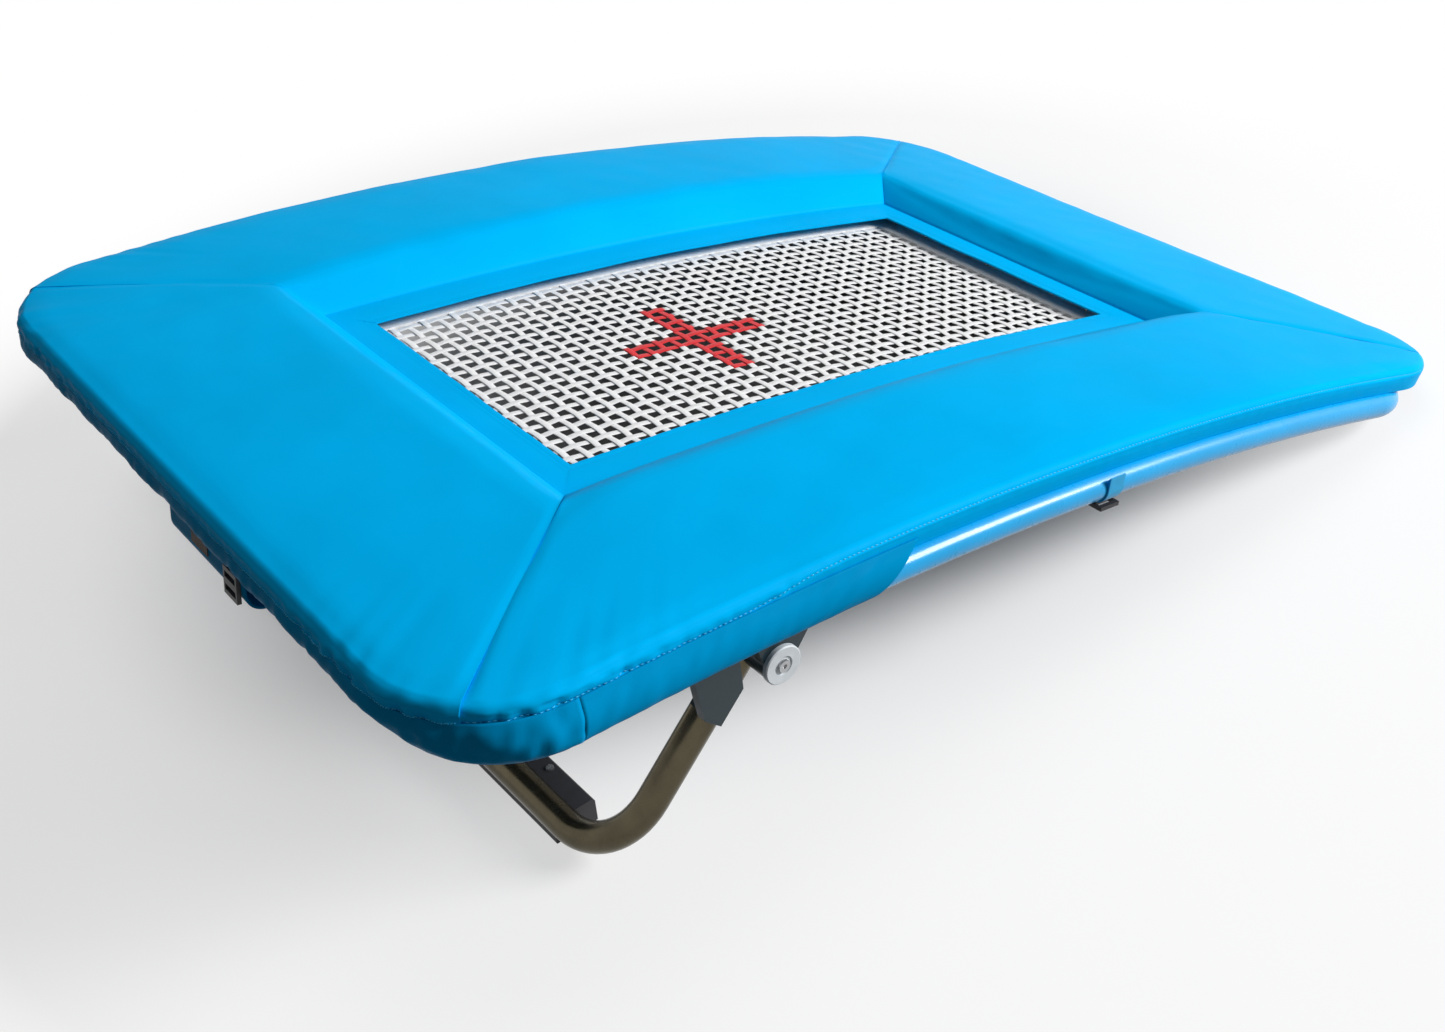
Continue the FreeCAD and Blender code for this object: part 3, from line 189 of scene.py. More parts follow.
LEVEL = LevelFrame()


def ripple(points: Array, step: float, seed: int) -> Array:
    """Smooth pseudo-random waves over points, from -1 to 1.

    Args:
        points: Places, in millimetres, one per row.
        step: Rough distance from crest to crest.
        seed: Picks one pattern of waves.

    Returns:
        One height per place.
    """
    chance = np.random.default_rng(seed)
    waves = chance.normal(size=(14, points.shape[-1]))
    waves *= (2 * math.pi / step) * chance.uniform(0.5, 1.3, (14, 1)) / np.linalg.norm(
        waves, axis=1)[:, None]
    starts = chance.uniform(0, 2 * math.pi, 14)
    return np.sin(points @ waves.T + starts).sum(-1) / 5.5


def grid_faces(rows: int, columns: int, capped: bool = True) -> Faces:
    """Faces over a grid whose points are stored row by row and whose rows form a ring.

    Args:
        rows: Number of rows.
        columns: Points in a row.
        capped: Closes the ring at its first and last column.

    Returns:
        Faces as tuples of point numbers.
    """
    faces = [(row * columns + column, row * columns + column + 1,
              (row + 1) % rows * columns + column + 1, (row + 1) % rows * columns + column)
             for row in range(rows) for column in range(columns - 1)]
    if capped:
        faces.append(tuple(row * columns for row in range(rows)))
        faces.append(tuple(row * columns + columns - 1 for row in reversed(range(rows))))
    return faces


def circle(count: int, radius: float) -> Array:
    """A round section of count points, in two columns."""
    turns = np.linspace(0, 2 * math.pi, count + 1)[:-1]
    return np.array([[math.cos(turn), math.sin(turn)] for turn in turns]) * radius


def merged(shapes: Iterable[Shape]) -> Shape:
    """Several shapes as one.

    Args:
        shapes: The shapes, as points and faces.

    Returns:
        One shape with all their points and faces.
    """
    points, faces, start = [], [], 0
    for some_points, some_faces in shapes:
        points.append(np.asarray(some_points, float).reshape(-1, 3))
        faces += [tuple(start + corner for corner in face) for face in some_faces]
        start += len(points[-1])
    return np.concatenate(points), faces


def swept(path: Array, outline: Array, sideways: Array) -> Shape:
    """A closed bar or band that follows a path.

    Args:
        path: Centre points, in order.
        outline: Two-column section: across, and square to the face.
        sideways: Direction of the section's first column at each point.

    Returns:
        The points and faces.
    """
    path = np.asarray(path, float)
    along = np.gradient(path, axis=0)
    along /= np.linalg.norm(along, axis=1)[:, None]
    sideways = np.broadcast_to(np.asarray(sideways, float), path.shape)
    up = np.cross(along, sideways)
    up /= np.linalg.norm(up, axis=1)[:, None]
    across = np.cross(up, along)
    points = path + outline[:, 0, None, None] * across + outline[:, 1, None, None] * up
    return points.reshape(-1, 3), grid_faces(len(outline), len(path))


def make_piece(name: str, shape: Shape, body: str = "root") -> Piece:
    """A smooth-shaded piece of the trampoline that rides on a body.

    Args:
        name: The piece's name.
        shape: Points in level millimetres, and faces.
        body: The body that it moves with.

    Returns:
        The new object.
    """
    points, faces = shape
    mesh = bpy.data.meshes.new(name)
    mesh.from_pydata(LEVEL.stand(points).tolist(), [], faces)
    mesh.validate()
    mesh.polygons.foreach_set("use_smooth", [True] * len(mesh.polygons))
    piece = bpy.data.objects.new(name, mesh)
    bpy.context.scene.collection.objects.link(piece)
    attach(piece, body)
    work = bmesh.new()
    work.from_mesh(mesh)
    bmesh.ops.recalc_face_normals(work, faces=work.faces)
    work.to_mesh(mesh)
    work.free()
    return piece


def make_ring_piece(name: str, points: Array) -> Piece:
    """A closed piece from a grid of points whose rows form a ring."""
    return make_piece(name, (points.reshape(-1, 3), grid_faces(*points.shape[:2])))


# Finishes


class NodeTree:
    """Shorthand for a tree of shader nodes."""

    def __init__(self, owner: bpy.types.ID) -> None:
        """Start an empty tree in a material or a world.

        Args:
            owner: The material or the world that the tree belongs to.
        """
        owner.use_nodes = True
        self.nodes, self.links = owner.node_tree.nodes, owner.node_tree.links
        self.nodes.clear()

    def add(self, kind: str, inputs: dict | None = None, **settings: object) -> bpy.types.Node:
        """Add a node.

        Args:
            kind: The node's kind, without its first word.
            inputs: A value or a socket for each input.
            settings: The node's own settings.

        Returns:
            The new node.
        """
        node = self.nodes.new("ShaderNode" + kind)
        for key, value in settings.items():
            setattr(node, key, value)
        for key, value in (inputs or {}).items():
            if isinstance(value, Socket):
                self.links.new(value, node.inputs[key])
            else:
                node.inputs[key].default_value = value
        return node

    def maths(self, operation: str, first: object, second: object) -> Socket:
        """One sum over two values."""
        return self.add("Math", {0: first, 1: second}, operation=operation).outputs[0]

    def span(self, value: Socket, wide: Pair, to: Pair, curve: str = "LINEAR") -> Socket:
        """A value moved from one range to another.

        Args:
            value: The value.
            wide: Its range.
            to: The range that it moves to.
            curve: How it moves between the ends.

        Returns:
            The moved value.
        """
        node = self.add("MapRange", {"Value": value, "From Min": wide[0], "From Max": wide[1],
                                     "To Min": to[0], "To Max": to[1]}, interpolation_type=curve)
        return node.outputs[0]

    def seen(self) -> Socket:
        """Rays that the camera sees, also where metal or glass passes them on.

        Returns:
            1 on those rays and 0 on others.
        """
        ray = self.add("LightPath").outputs
        mirrored = self.maths("MAXIMUM", ray["Is Glossy Ray"], ray["Is Transmission Ray"])
        return self.maths("MAXIMUM", ray["Is Camera Ray"], mirrored)

    def mixed(self, share: Socket, first: bpy.types.Node, second: bpy.types.Node) -> bpy.types.Node:
        """Two shaders mixed by a share of the second."""
        return self.add("MixShader", {0: share, 1: first.outputs[0], 2: second.outputs[0]})


class Graph(NodeTree):
    """A material's nodes round its principled shader."""

    def __init__(self, name: str) -> None:
        """Start a material with a principled shader.

        Args:
            name: The material's name.
        """
        self.material = bpy.data.materials.new(name)
        super().__init__(self.material)
        self.output = self.add("OutputMaterial")
        self.shader = self.add("BsdfPrincipled")
        self.links.new(self.shader.outputs[0], self.output.inputs[0])
        self.place = self.add("TexCoord").outputs["Object"]

    def noise(self, scale: float, detail: float = 2.0, stretch: Triple = (1, 1, 1)) -> Socket:
        """Noise over the object's own place, stretched along its axes.

        Args:
            scale: Waves per metre.
            detail: Number of finer layers.
            stretch: Factor along each axis.

        Returns:
            A value from 0 to 1.
        """
        place = self.add("Mapping", {"Vector": self.place, "Scale": stretch}).outputs[0]
        node = self.add("TexNoise", {"Vector": place, "Scale": scale, "Detail": detail})
        return node.outputs["Fac"]

    def ramp(self, value: Socket, stops: Sequence[tuple[float, Triple]]) -> Socket:
        """A colour ramp over a value.

        Args:
            value: A value from 0 to 1.
            stops: Places and their colours.

        Returns:
            The colour.
        """
        node = self.add("ValToRGB", {"Fac": value})
        while len(node.color_ramp.elements) < len(stops):
            node.color_ramp.elements.new(0.5)
        for element, (spot, colour) in zip(node.color_ramp.elements, stops):
            element.position = spot
            element.color = (*colour, 1)
        return node.outputs[0]

    def cloudy(self, value: Socket, colour: Triple, dark: Pair, light: Pair) -> Socket:
        """A colour that varies over a value, between two spots given as place and factor."""
        return self.ramp(value, [(spot, tinted(colour, factor)) for spot, factor in (dark, light)])

    def rough(self, value: Socket, middle: float, below: float, above: float) -> Socket:
        """A roughness spread round its middle by a value from 0 to 1."""
        return self.span(value, (0, 1), (middle - below, middle + above))

    def bump(self, height: Socket, depth: float, strength: float = 1.0) -> None:
        """Relief on the surface, over any that it already has.

        Args:
            height: The relief, from 0 to 1.
            depth: Depth of the relief, in metres.
            strength: Share of the relief that shows.
        """
        before = self.shader.inputs["Normal"].links
        inputs = {"Height": height, "Distance": depth, "Strength": strength}
        if before:
            inputs["Normal"] = before[0].from_socket
        node = self.add("Bump", inputs)
        self.links.new(node.outputs[0], self.shader.inputs["Normal"])

    def set(self, **inputs: object) -> "Graph":
        """Set or link the shader's own sockets, named with underscores for spaces.

        Args:
            inputs: A value or a socket for each input.

        Returns:
            The same graph.
        """
        for key, value in inputs.items():
            socket = self.shader.inputs[key.replace("_", " ")]
            if isinstance(value, Socket):
                self.links.new(value, socket)
            else:
                socket.default_value = value
        return self


def shade(red: int, green: int, blue: int) -> Triple:
    """A printed colour, 0 to 255, as light."""
    return tuple(part / 12.92 if part <= 0.04045 else ((part + 0.055) / 1.055) ** 2.4
                 for part in (red / 255, green / 255, blue / 255))


def tinted(colour: Triple, factor: float) -> Triple:
    """A colour made lighter or darker."""
    return tuple(min(1.0, part * factor) for part in colour)


@dataclass(frozen=True)
class Finish:
    """A finish by its name and colour."""

    name: str
    colour: Triple

    def material(self) -> bpy.types.Material:
        """Make the finish as nodes.

        Returns:
            The new material.
        """
        graph = Graph(self.name)
        self.lay_on(graph)
        return graph.material

    def lay_on(self, graph: Graph) -> None:
        """Set the shader's colour, roughness and relief.

        Args:
            graph: The material's nodes.
        """
        raise NotImplementedError


@dataclass(frozen=True)
class CoatedCloth(Finish):
    """Glossy coated cloth of the pad, with a fine pressed grain."""

    roughness: float = 0.34
    grain: float = 0.00008
    gleam: float = 0.005

    def lay_on(self, graph: Graph) -> None:
        """Set the shader's colour, roughness and relief.

        Args:
            graph: The material's nodes.
        """
        cloud = graph.noise(5.0, 3.0)
        graph.set(Base_Color=graph.cloudy(cloud, self.colour, (0.25, 0.94), (0.75, 1.05)),
                  Roughness=graph.rough(graph.noise(38.0, 4.0), self.roughness, 0.05, 0.07),
                  Specular_IOR_Level=self.gleam)
        graph.bump(graph.noise(1400.0, 3.0), self.grain, 0.5)
        graph.bump(graph.noise(60.0, 2.0), 0.0006, 0.2)


@dataclass(frozen=True)
class Webbing(Finish):
    """Woven band or thread, with fine ribs across it."""

    ribs: float = 900.0
    roughness: float = 0.75

    def lay_on(self, graph: Graph) -> None:
        """Set the shader's colour, roughness and relief.

        Args:
            graph: The material's nodes.
        """
        ribs = graph.add("TexWave", {"Vector": graph.place, "Scale": self.ribs / 3,
                                     "Distortion": 1.5, "Detail": 2.0, "Detail Scale": 2.0},
                         wave_type="BANDS", bands_direction="DIAGONAL")
        cloud = graph.noise(160.0, 4.0)
        graph.set(Base_Color=graph.cloudy(cloud, self.colour, (0.2, 0.86), (0.7, 1.0)),
                  Roughness=self.roughness, Sheen_Weight=0.25, Sheen_Roughness=0.4)
        graph.bump(ribs.outputs["Fac"], 0.00022, 0.6)
        graph.bump(cloud, 0.0003, 0.4)


@dataclass(frozen=True)
class Paint(Finish):
    """Powder coat with a slight orange peel."""

    roughness: float = 0.28

    def lay_on(self, graph: Graph) -> None:
        """Set the shader's colour, roughness and relief.

        Args:
            graph: The material's nodes.
        """
        cloud = graph.noise(14.0, 3.0)
        graph.set(Base_Color=graph.cloudy(cloud, self.colour, (0.3, 0.93), (0.8, 1.04)),
                  Roughness=graph.rough(graph.noise(80.0), self.roughness, 0.05, 0.06),
                  Specular_IOR_Level=0.3, Coat_Weight=0.25, Coat_Roughness=0.12)
        graph.bump(graph.noise(420.0, 2.0), 0.00003, 0.15)


@dataclass(frozen=True)
class Metal(Finish):
    """Drawn or turned metal, streaked along its tube."""

    roughness: float = 0.32
    metallic: float = 1.0
    streak: Triple = (1.0, 1.0, 1.0)

    def lay_on(self, graph: Graph) -> None:
        """Set the shader's colour, roughness and relief.

        Args:
            graph: The material's nodes.
        """
        cloud = graph.noise(26.0, 6.0, self.streak)
        wear = graph.noise(70.0, 5.0, self.streak)
        graph.set(Base_Color=graph.cloudy(cloud, self.colour, (0.25, 0.62), (0.7, 1.0)),
                  Metallic=self.metallic,
                  Roughness=graph.rough(wear, self.roughness, 0.08, 0.14))
        graph.bump(graph.noise(900.0, 3.0, self.streak), 0.00006, 0.5)


@dataclass(frozen=True)
class Moulded(Finish):
    """Moulded plastic or rubber with a fine grain and scuffs."""

    roughness: float = 0.55

    def lay_on(self, graph: Graph) -> None:
        """Set the shader's colour, roughness and relief.

        Args:
            graph: The material's nodes.
        """
        scuffs = graph.noise(45.0, 8.0)
        graph.set(Base_Color=graph.cloudy(scuffs, self.colour, (0.35, 1.0), (0.8, 1.3)),
                  Roughness=graph.rough(scuffs, self.roughness, 0.06, 0.12), Specular_IOR_Level=0.4)
        graph.bump(graph.noise(1600.0, 2.0), 0.00008, 0.6)


@dataclass(frozen=True)
class HookTape(Finish):
    """Hook tape: a field of tiny stiff loops."""

    def lay_on(self, graph: Graph) -> None:
        """Set the shader's colour, roughness and relief.

        Args:
            graph: The material's nodes.
        """
        hooks = graph.add("TexVoronoi", {"Vector": graph.place, "Scale": 900.0}).outputs["Distance"]
        graph.set(Base_Color=graph.cloudy(hooks, self.colour, (0.1, 1.25), (0.6, 0.55)),
                  Roughness=0.9)
        graph.bump(hooks, 0.0008, 0.8)


COVER_BLUE = shade(0, 174, 238)
FINISHES = {
    "blue_cover": CoatedCloth("blue coated cloth", COVER_BLUE),
    # Painted shade: the skirt and its tab are the cover's own cloth, given a darker blue that
    # stands in for the lower light on them
    "skirt_cover_painted_shade": CoatedCloth("blue cover cloth with painted shade", shade(0, 138, 192)),
    "frame_paint": Paint("blue powder coat", shade(0, 160, 222)),
    "leg_steel": Metal("dark lacquered steel", (0.11, 0.094, 0.058), 0.23, 0.88, (1, 1, 1)),
    # Painted shade: the frame's blue powder coat made near black for the hinge housings, brackets
    # and leg stops, so that they read as lying in shade
    "painted_shade_paint": Paint("blue powder coat with painted shade", shade(12, 34, 42), 0.5),
    "zinc_steel": Metal("zinc plated steel", (0.56, 0.57, 0.58), 0.34),
    "grey_cap": Moulded("grey cap plastic", shade(196, 202, 206), 0.42),
    "black_rubber": Moulded("black rubber", (0.028, 0.028, 0.032), 0.62),
    "bush_plastic": Moulded("bush plastic", (0.03, 0.03, 0.032), 0.4),
    "bed_webbing": Webbing("white webbing", shade(238, 238, 238)),
    "red_webbing": Webbing("red webbing", shade(214, 24, 34)),
    "black_plastic": Moulded("black plastic", (0.014, 0.014, 0.016), 0.5),
    "blue_webbing": Webbing("blue webbing", shade(0, 160, 215)),
    "hook_patch": HookTape("hook tape", shade(112, 104, 98)),
    "thread": Webbing("blue thread", shade(60, 196, 240), 3000.0),
}


@dataclass
class Wardrobe:
    """Makes each finish once and dresses pieces with it."""

    slots: set[str]
    made: dict[str, bpy.types.Material] = field(default_factory=dict)

    def finish(self, name: str) -> bpy.types.Material:
        """The material of one finish.

        Args:
            name: The finish's name in FINISHES.

        Returns:
            Its material, made once.
        """
        if name not in self.made:
            self.made[name] = FINISHES[name].material()
        return self.made[name]

    def dress(self, piece: Piece, name: str) -> Piece:
        """Give a piece a finish.

        Args:
            piece: The piece.
            name: The finish's name in FINISHES.

        Returns:
            The same piece.
        """
        piece.data.materials.clear()
        piece.data.materials.append(self.finish(name))
        LOG.info("%s: %s", piece.name, name)
        return piece


# Frame pad


@dataclass
class PadSizes:
    """Plan rings and section of the foam pad."""

    shift: float = 26.0
    outer_shift: float = 3.5
    outer: Pair = (819.0, 564.0)
    corner: float = 140.0
    crest: Pair = (529.0, 321.0)
    foot: Pair = (492.0, 271.0)
    flap: Pair = (448.0, 218.0)
    seat: float = 17.8
    thickness: float = 33.5
    crest_rise: float = 3.0
    crown: float = 2.0
    undercut: float = 4.0
    edge_radius: float = 10.0
    over_springs: float = 18.3
    lip: float = 3.0
    rest_in: float = 22.0
    flat_under: float = 29.0
    crest_round: float = 12.0
    swell: float = 1.8
    seam_bare: float = 3.86
    seam_booted: float = 4.42
    booted_to: float = -250.0
    boot_fade: float = 14.0
    least_rest: float = 24.0

    def seam_part(self, x: Array) -> Array:
        """Part of the section's ring where the outer seam runs at x."""
        bare = 1 / (1 + np.exp(-(np.asarray(x, float) - self.booted_to) / self.boot_fade))
        return self.seam_booted + (self.seam_bare - self.seam_booted) * bare

    def plan_x(self, reach: Array) -> Array:
        """Level x of a reach from the pad's middle."""
        past = np.clip((np.abs(reach) - self.crest[0]) / (self.outer[0] - self.crest[0]), 0, 1)
        return self.shift + reach + self.outer_shift * past

    def mitre_reach(self) -> float:
        """Half the pad's length where its mitres meet the rounded outline.

        Returns:
            A reach from the middle, in millimetres.
        """
        crest = np.array(self.crest)
        way = np.array(self.outer) - crest
        way /= np.linalg.norm(way)
        centre = np.array(self.outer) - self.corner
        gap = centre - crest
        along = gap @ way
        across = gap[0] * way[1] - gap[1] * way[0]
        return float((crest + way * (along + math.sqrt(self.corner**2 - across**2)))[0])

    def mitre_width(self) -> float:
        """Half the pad's width at the same place."""
        slope = (self.outer[1] - self.crest[1]) / (self.outer[0] - self.crest[0])
        return self.crest[1] + (self.mitre_reach() - self.crest[0]) * slope


PAD = PadSizes()


@dataclass
class PadSection:
    """One of the four mitred foam sections, as a grid of rings round its foam.

    A column of the grid is a cut across the pad, and its rows go round the foam: up the
    inner slope, over the top, down the outer wall and back underneath.
    """

    side: Side
    column_step: float
    rows_per_part: tuple[int, ...]

    def outline(self) -> tuple[Array, Array, Array]:
        """Outer edge from mitre to mitre.

        Returns:
            The walk along it, its plan as reach along and reach outwards, and its normals.
        """
        lengthwise = self.side in (Side.LEFT, Side.RIGHT)
        along, out = PAD.outer if lengthwise else PAD.outer[::-1]
        end = PAD.mitre_reach() if lengthwise else PAD.mitre_width()
        straight = along - PAD.corner
        turn = math.asin((end - straight) / PAD.corner)
        arc = PAD.corner * turn
        total = 2 * (straight + arc)
        walk = np.linspace(-total / 2, total / 2, int(total / self.column_step) + 1)
        bend = np.clip(np.abs(walk) - straight, 0, None) / PAD.corner
        sign = np.sign(walk)
        reach = np.where(bend > 0, sign * (straight + PAD.corner * np.sin(bend)), walk)
        outwards = out - PAD.corner * (1 - np.cos(bend))
        normals = np.stack([sign * np.sin(bend), np.cos(bend)], -1)
        return walk, np.stack([reach, outwards], -1), normals

    def place(self, plan: Array) -> tuple[Array, Array]:
        """Level x and y of plan points given as reach along and reach outwards.

        Args:
            plan: Reach along and reach outwards, in two columns.

        Returns:
            Level x and level y.
        """
        along, out = plan[..., 0], plan[..., 1]
        if self.side is Side.LEFT:
            return PAD.plan_x(along), out
        if self.side is Side.RIGHT:
            return PAD.plan_x(along), -out
        if self.side is Side.LOW:
            return PAD.plan_x(out), along
        return PAD.plan_x(-out), along

    def grid(self) -> tuple[Array, Array, Array]:
        """The foam's surface before it swells.

        Returns:
            Points (rows, columns, 3), the part of the ring that each row belongs to
            with its fraction, and the walk along the outer edge for each column.
        """
        lengthwise = self.side in (Side.LEFT, Side.RIGHT)
        walk, outer, normals = self.outline()
        pick = 0 if lengthwise else 1
        end = outer[-1, 0]

        def inner(ring: Pair, extra: float = 0.0) -> Array:
            """An inner ring of the pad, column by column."""
            half_along, half_out = ring[pick], ring[1 - pick] + extra
            return np.stack([outer[:, 0] * (half_along / end), np.full(len(walk), half_out)], -1)

        crest, foot = inner(PAD.crest), inner(PAD.foot)
        flat = inner(PAD.foot, PAD.flat_under)
        inwards = crest - outer
        length = np.linalg.norm(inwards, axis=1)[:, None]
        inwards /= length
        lean = -(inwards * normals).sum(-1)[:, None]

        def from_wall(offset: float) -> Array:
            """The outer edge moved inwards, square to the wall."""
            return outer + inwards * offset / lean

        def over_rail(plan: Array, lift: object) -> Array:
            """Points at a height over the seat on the rails."""
            x, y = self.place(plan)
            return np.stack([x, y, LEVEL.rail_height(x) + PAD.seat + lift], -1)

        def over_bed(plan: Array, lift: float) -> Array:
            """Points at a height over the bed."""
            x, y = self.place(plan)
            return np.stack([x, y, LEVEL.bed_height(x) + lift], -1)

        lip = over_bed(foot, PAD.over_springs + PAD.lip)
        brink = over_rail(crest, PAD.thickness + PAD.crest_rise)
        shoulder = over_rail(from_wall(PAD.edge_radius), PAD.thickness)
        under_foot = over_bed(foot, PAD.over_springs)
        under_flat = over_bed(flat, PAD.over_springs)
        rail_half = (LEVEL.half_width if lengthwise else LEVEL.half_length) - PAD.rest_in
        if self.side is Side.HIGH:
            rail_half += PAD.shift
        if self.side is Side.LOW:
            rail_half -= PAD.shift
        least = PAD.least_rest / (outer[:, 1:] - crest[:, 1:])
        share = np.maximum((outer[:, 1:] - rail_half) / (outer[:, 1:] - crest[:, 1:]), least)
        rest = over_rail(outer + (crest - outer) * share, 0)
        base = over_rail(from_wall(PAD.undercut), 0)

        slope_length = np.linalg.norm(brink - lip, axis=1)[:, None]
        below = brink + (lip - brink) / slope_length * PAD.crest_round
        above = over_rail(crest - inwards * PAD.crest_round, PAD.thickness + PAD.crest_rise)
        wall = PAD.thickness - PAD.edge_radius
        parts: list[Callable[[float], Array]] = [
            lambda t: lip + (below - lip) * t,
            lambda t: below * (1 - t) ** 2 + brink * 2 * t * (1 - t) + above * t**2,
            lambda t: above + (shoulder - above) * t + [0, 0, 4 * PAD.crown * t * (1 - t)],
            lambda t: over_rail(from_wall(PAD.edge_radius * (1 - math.sin(t * math.pi / 2))),
                                PAD.thickness - PAD.edge_radius * (1 - math.cos(t * math.pi / 2))),
            lambda t: over_rail(from_wall(PAD.undercut * t), wall * (1 - t)),
            lambda t: base + (rest - base) * t,
            lambda t: rest + (under_flat - rest) * t,
            lambda t: under_flat + (under_foot - under_flat) * t,
            lambda t: under_foot + (lip - under_foot) * t,
        ]
        rows, where = [], []
        for number, (part, steps) in enumerate(zip(parts, self.rows_per_part)):
            for step in range(steps):
                rows.append(part(step / steps))
                where.append(number + step / steps)
        return np.stack(rows), np.array(where), walk


# Rows for each part of the ring: inner slope, crest, top, rounded edge, wall, and four underneath
COARSE_ROWS = (5, 2, 18, 3, 3, 2, 4, 2, 1)
FINE_ROWS = (9, 6, 30, 12, 14, 3, 4, 2, 1)
WALL = 4  # The part of the ring that is the wall, under the rounded edge
WALL_ROWS = sum(FINE_ROWS[:WALL + 1])

COARSE_STEP, FINE_STEP = 11.0, 5.0  # Width of the columns along the outer edge
SWELL_FRAMES = 20
SEAM_HOLD = 0.75  # How firmly the seam at the top of the wall is held
COVER_CLOTH = {"quality": 6, "mass": 0.35, "tension_stiffness": 40, "compression_stiffness": 12,
               "shear_stiffness": 12, "bending_stiffness": 4, "use_pressure": True,
               "uniform_pressure_force": 4, "vertex_group_mass": "held"}


def swollen(section: PadSection, steps: int) -> Array:
    """How far the foam pushes its cover out, from a cloth simulation.

    Args:
        section: A coarse section of the pad.
        steps: Frames that the simulation runs for.

    Returns:
        One move per point of the section's grid, in level millimetres.
    """
    points, where, walk = section.grid()
    rows, columns = points.shape[:2]
    piece = make_piece("cover_at_rest", (points.reshape(-1, 3), grid_faces(rows, columns, False)))
    held = np.zeros((rows, columns))
    held[:, [0, -1]] = 1
    held[where >= WALL + 1] = 1
    held[where == 0] = 1
    held[where == WALL] = SEAM_HOLD
    group = piece.vertex_groups.new(name="held")
    for number, weight in enumerate(held.ravel()):
        if weight > 0:
            group.add([number], float(weight), "REPLACE")
    cloth = piece.modifiers.new("cover", "CLOTH")
    for setting, value in COVER_CLOTH.items():
        setattr(cloth.settings, setting, value)
    cloth.settings.effector_weights.gravity = 0
    cloth.point_cache.frame_start = 1
    cloth.point_cache.frame_end = steps
    scene = bpy.context.scene
    for frame in range(1, steps + 1):
        scene.frame_set(frame)
    graph = bpy.context.evaluated_depsgraph_get()
    shaped = piece.evaluated_get(graph).data
    flat = np.empty(len(shaped.vertices) * 3)
    shaped.vertices.foreach_get("co", flat)
    moved = LEVEL.lay(flat.reshape(-1, 3)).reshape(points.shape) - points
    scene.frame_set(1)
    bpy.data.objects.remove(piece)
    reach = np.linalg.norm(moved, axis=-1, keepdims=True)
    LOG.info("%s cover swells by up to %.1f mm", section.side.value, reach.max())
    return moved * np.minimum(1, PAD.swell / np.maximum(reach, 1e-9))


def spread(moves: Array, rows_from: Array, columns_from: Array,
           rows_to: Array, columns_to: Array) -> Array:
    """Moves of a coarse grid read off at the places of a finer one.

    Args:
        moves: Moves of the coarse grid.
        rows_from: Part of the ring for each of its rows.
        columns_from: Walk for each of its columns.
        rows_to: Part of the ring for each fine row.
        columns_to: Walk for each fine column.

    Returns:
        One move per point of the fine grid.
    """
    middle = np.stack([[np.interp(columns_to, columns_from, row[:, axis]) for axis in range(3)]
                       for row in moves])
    flat = middle.reshape(len(rows_from), -1)
    fine = np.stack([np.interp(rows_to, rows_from, column) for column in flat.T], -1)
    return fine.reshape(len(rows_to), 3, len(columns_to)).transpose(0, 2, 1)


def grid_normals(points: Array) -> Array:
    """Unit normals of a ring grid, outwards.

    Args:
        points: A grid whose rows form a ring.

    Returns:
        One normal per point.
    """
    across = np.roll(points, -1, 0) - np.roll(points, 1, 0)
    along = np.gradient(points, axis=1)
    normals = np.cross(across, along)
    normals /= np.maximum(np.linalg.norm(normals, axis=-1, keepdims=True), 1e-9)
    return normals


def bell(distance: Array, width: float) -> Array:
    """A smooth bump, 1 at zero distance."""
    return np.exp(-((distance / width) ** 2))


@dataclass(frozen=True)
class CoverRelief:
    """Relief of the pad's cover: heights and widths of its waves and seams, in millimetres."""

    broad_wave: Pair = (0.9, 260.0)
    fine_wave: Pair = (0.35, 75.0)
    mitre_seam: Pair = (0.5, 1.4)
    mitre_pull: Pair = (0.45, 40.0)
    pull_from: Pair = (6.0, 8.0)
    edge_seam: Pair = (1.0, 1.1)
    gather_step: float = 17.0
    gathers_over: Triple = (0.12, 0.45, 1.3)
    gathers_under: Triple = (0.15, 0.4, 0.5)
    over_from: Pair = (-4.0, 7.0)
    under_from: Pair = (6.0, 8.0)
    corner_reach: Pair = (200.0, 35.0)
    corner_dents: Pair = (1.1, 34.0)
    dents_from: float = 2.55
    mitre_run: float = 60.0
    gather_run: float = 14.0
    dent_run: float = 22.0
    edge_turn: float = 1.57


RELIEF = CoverRelief()


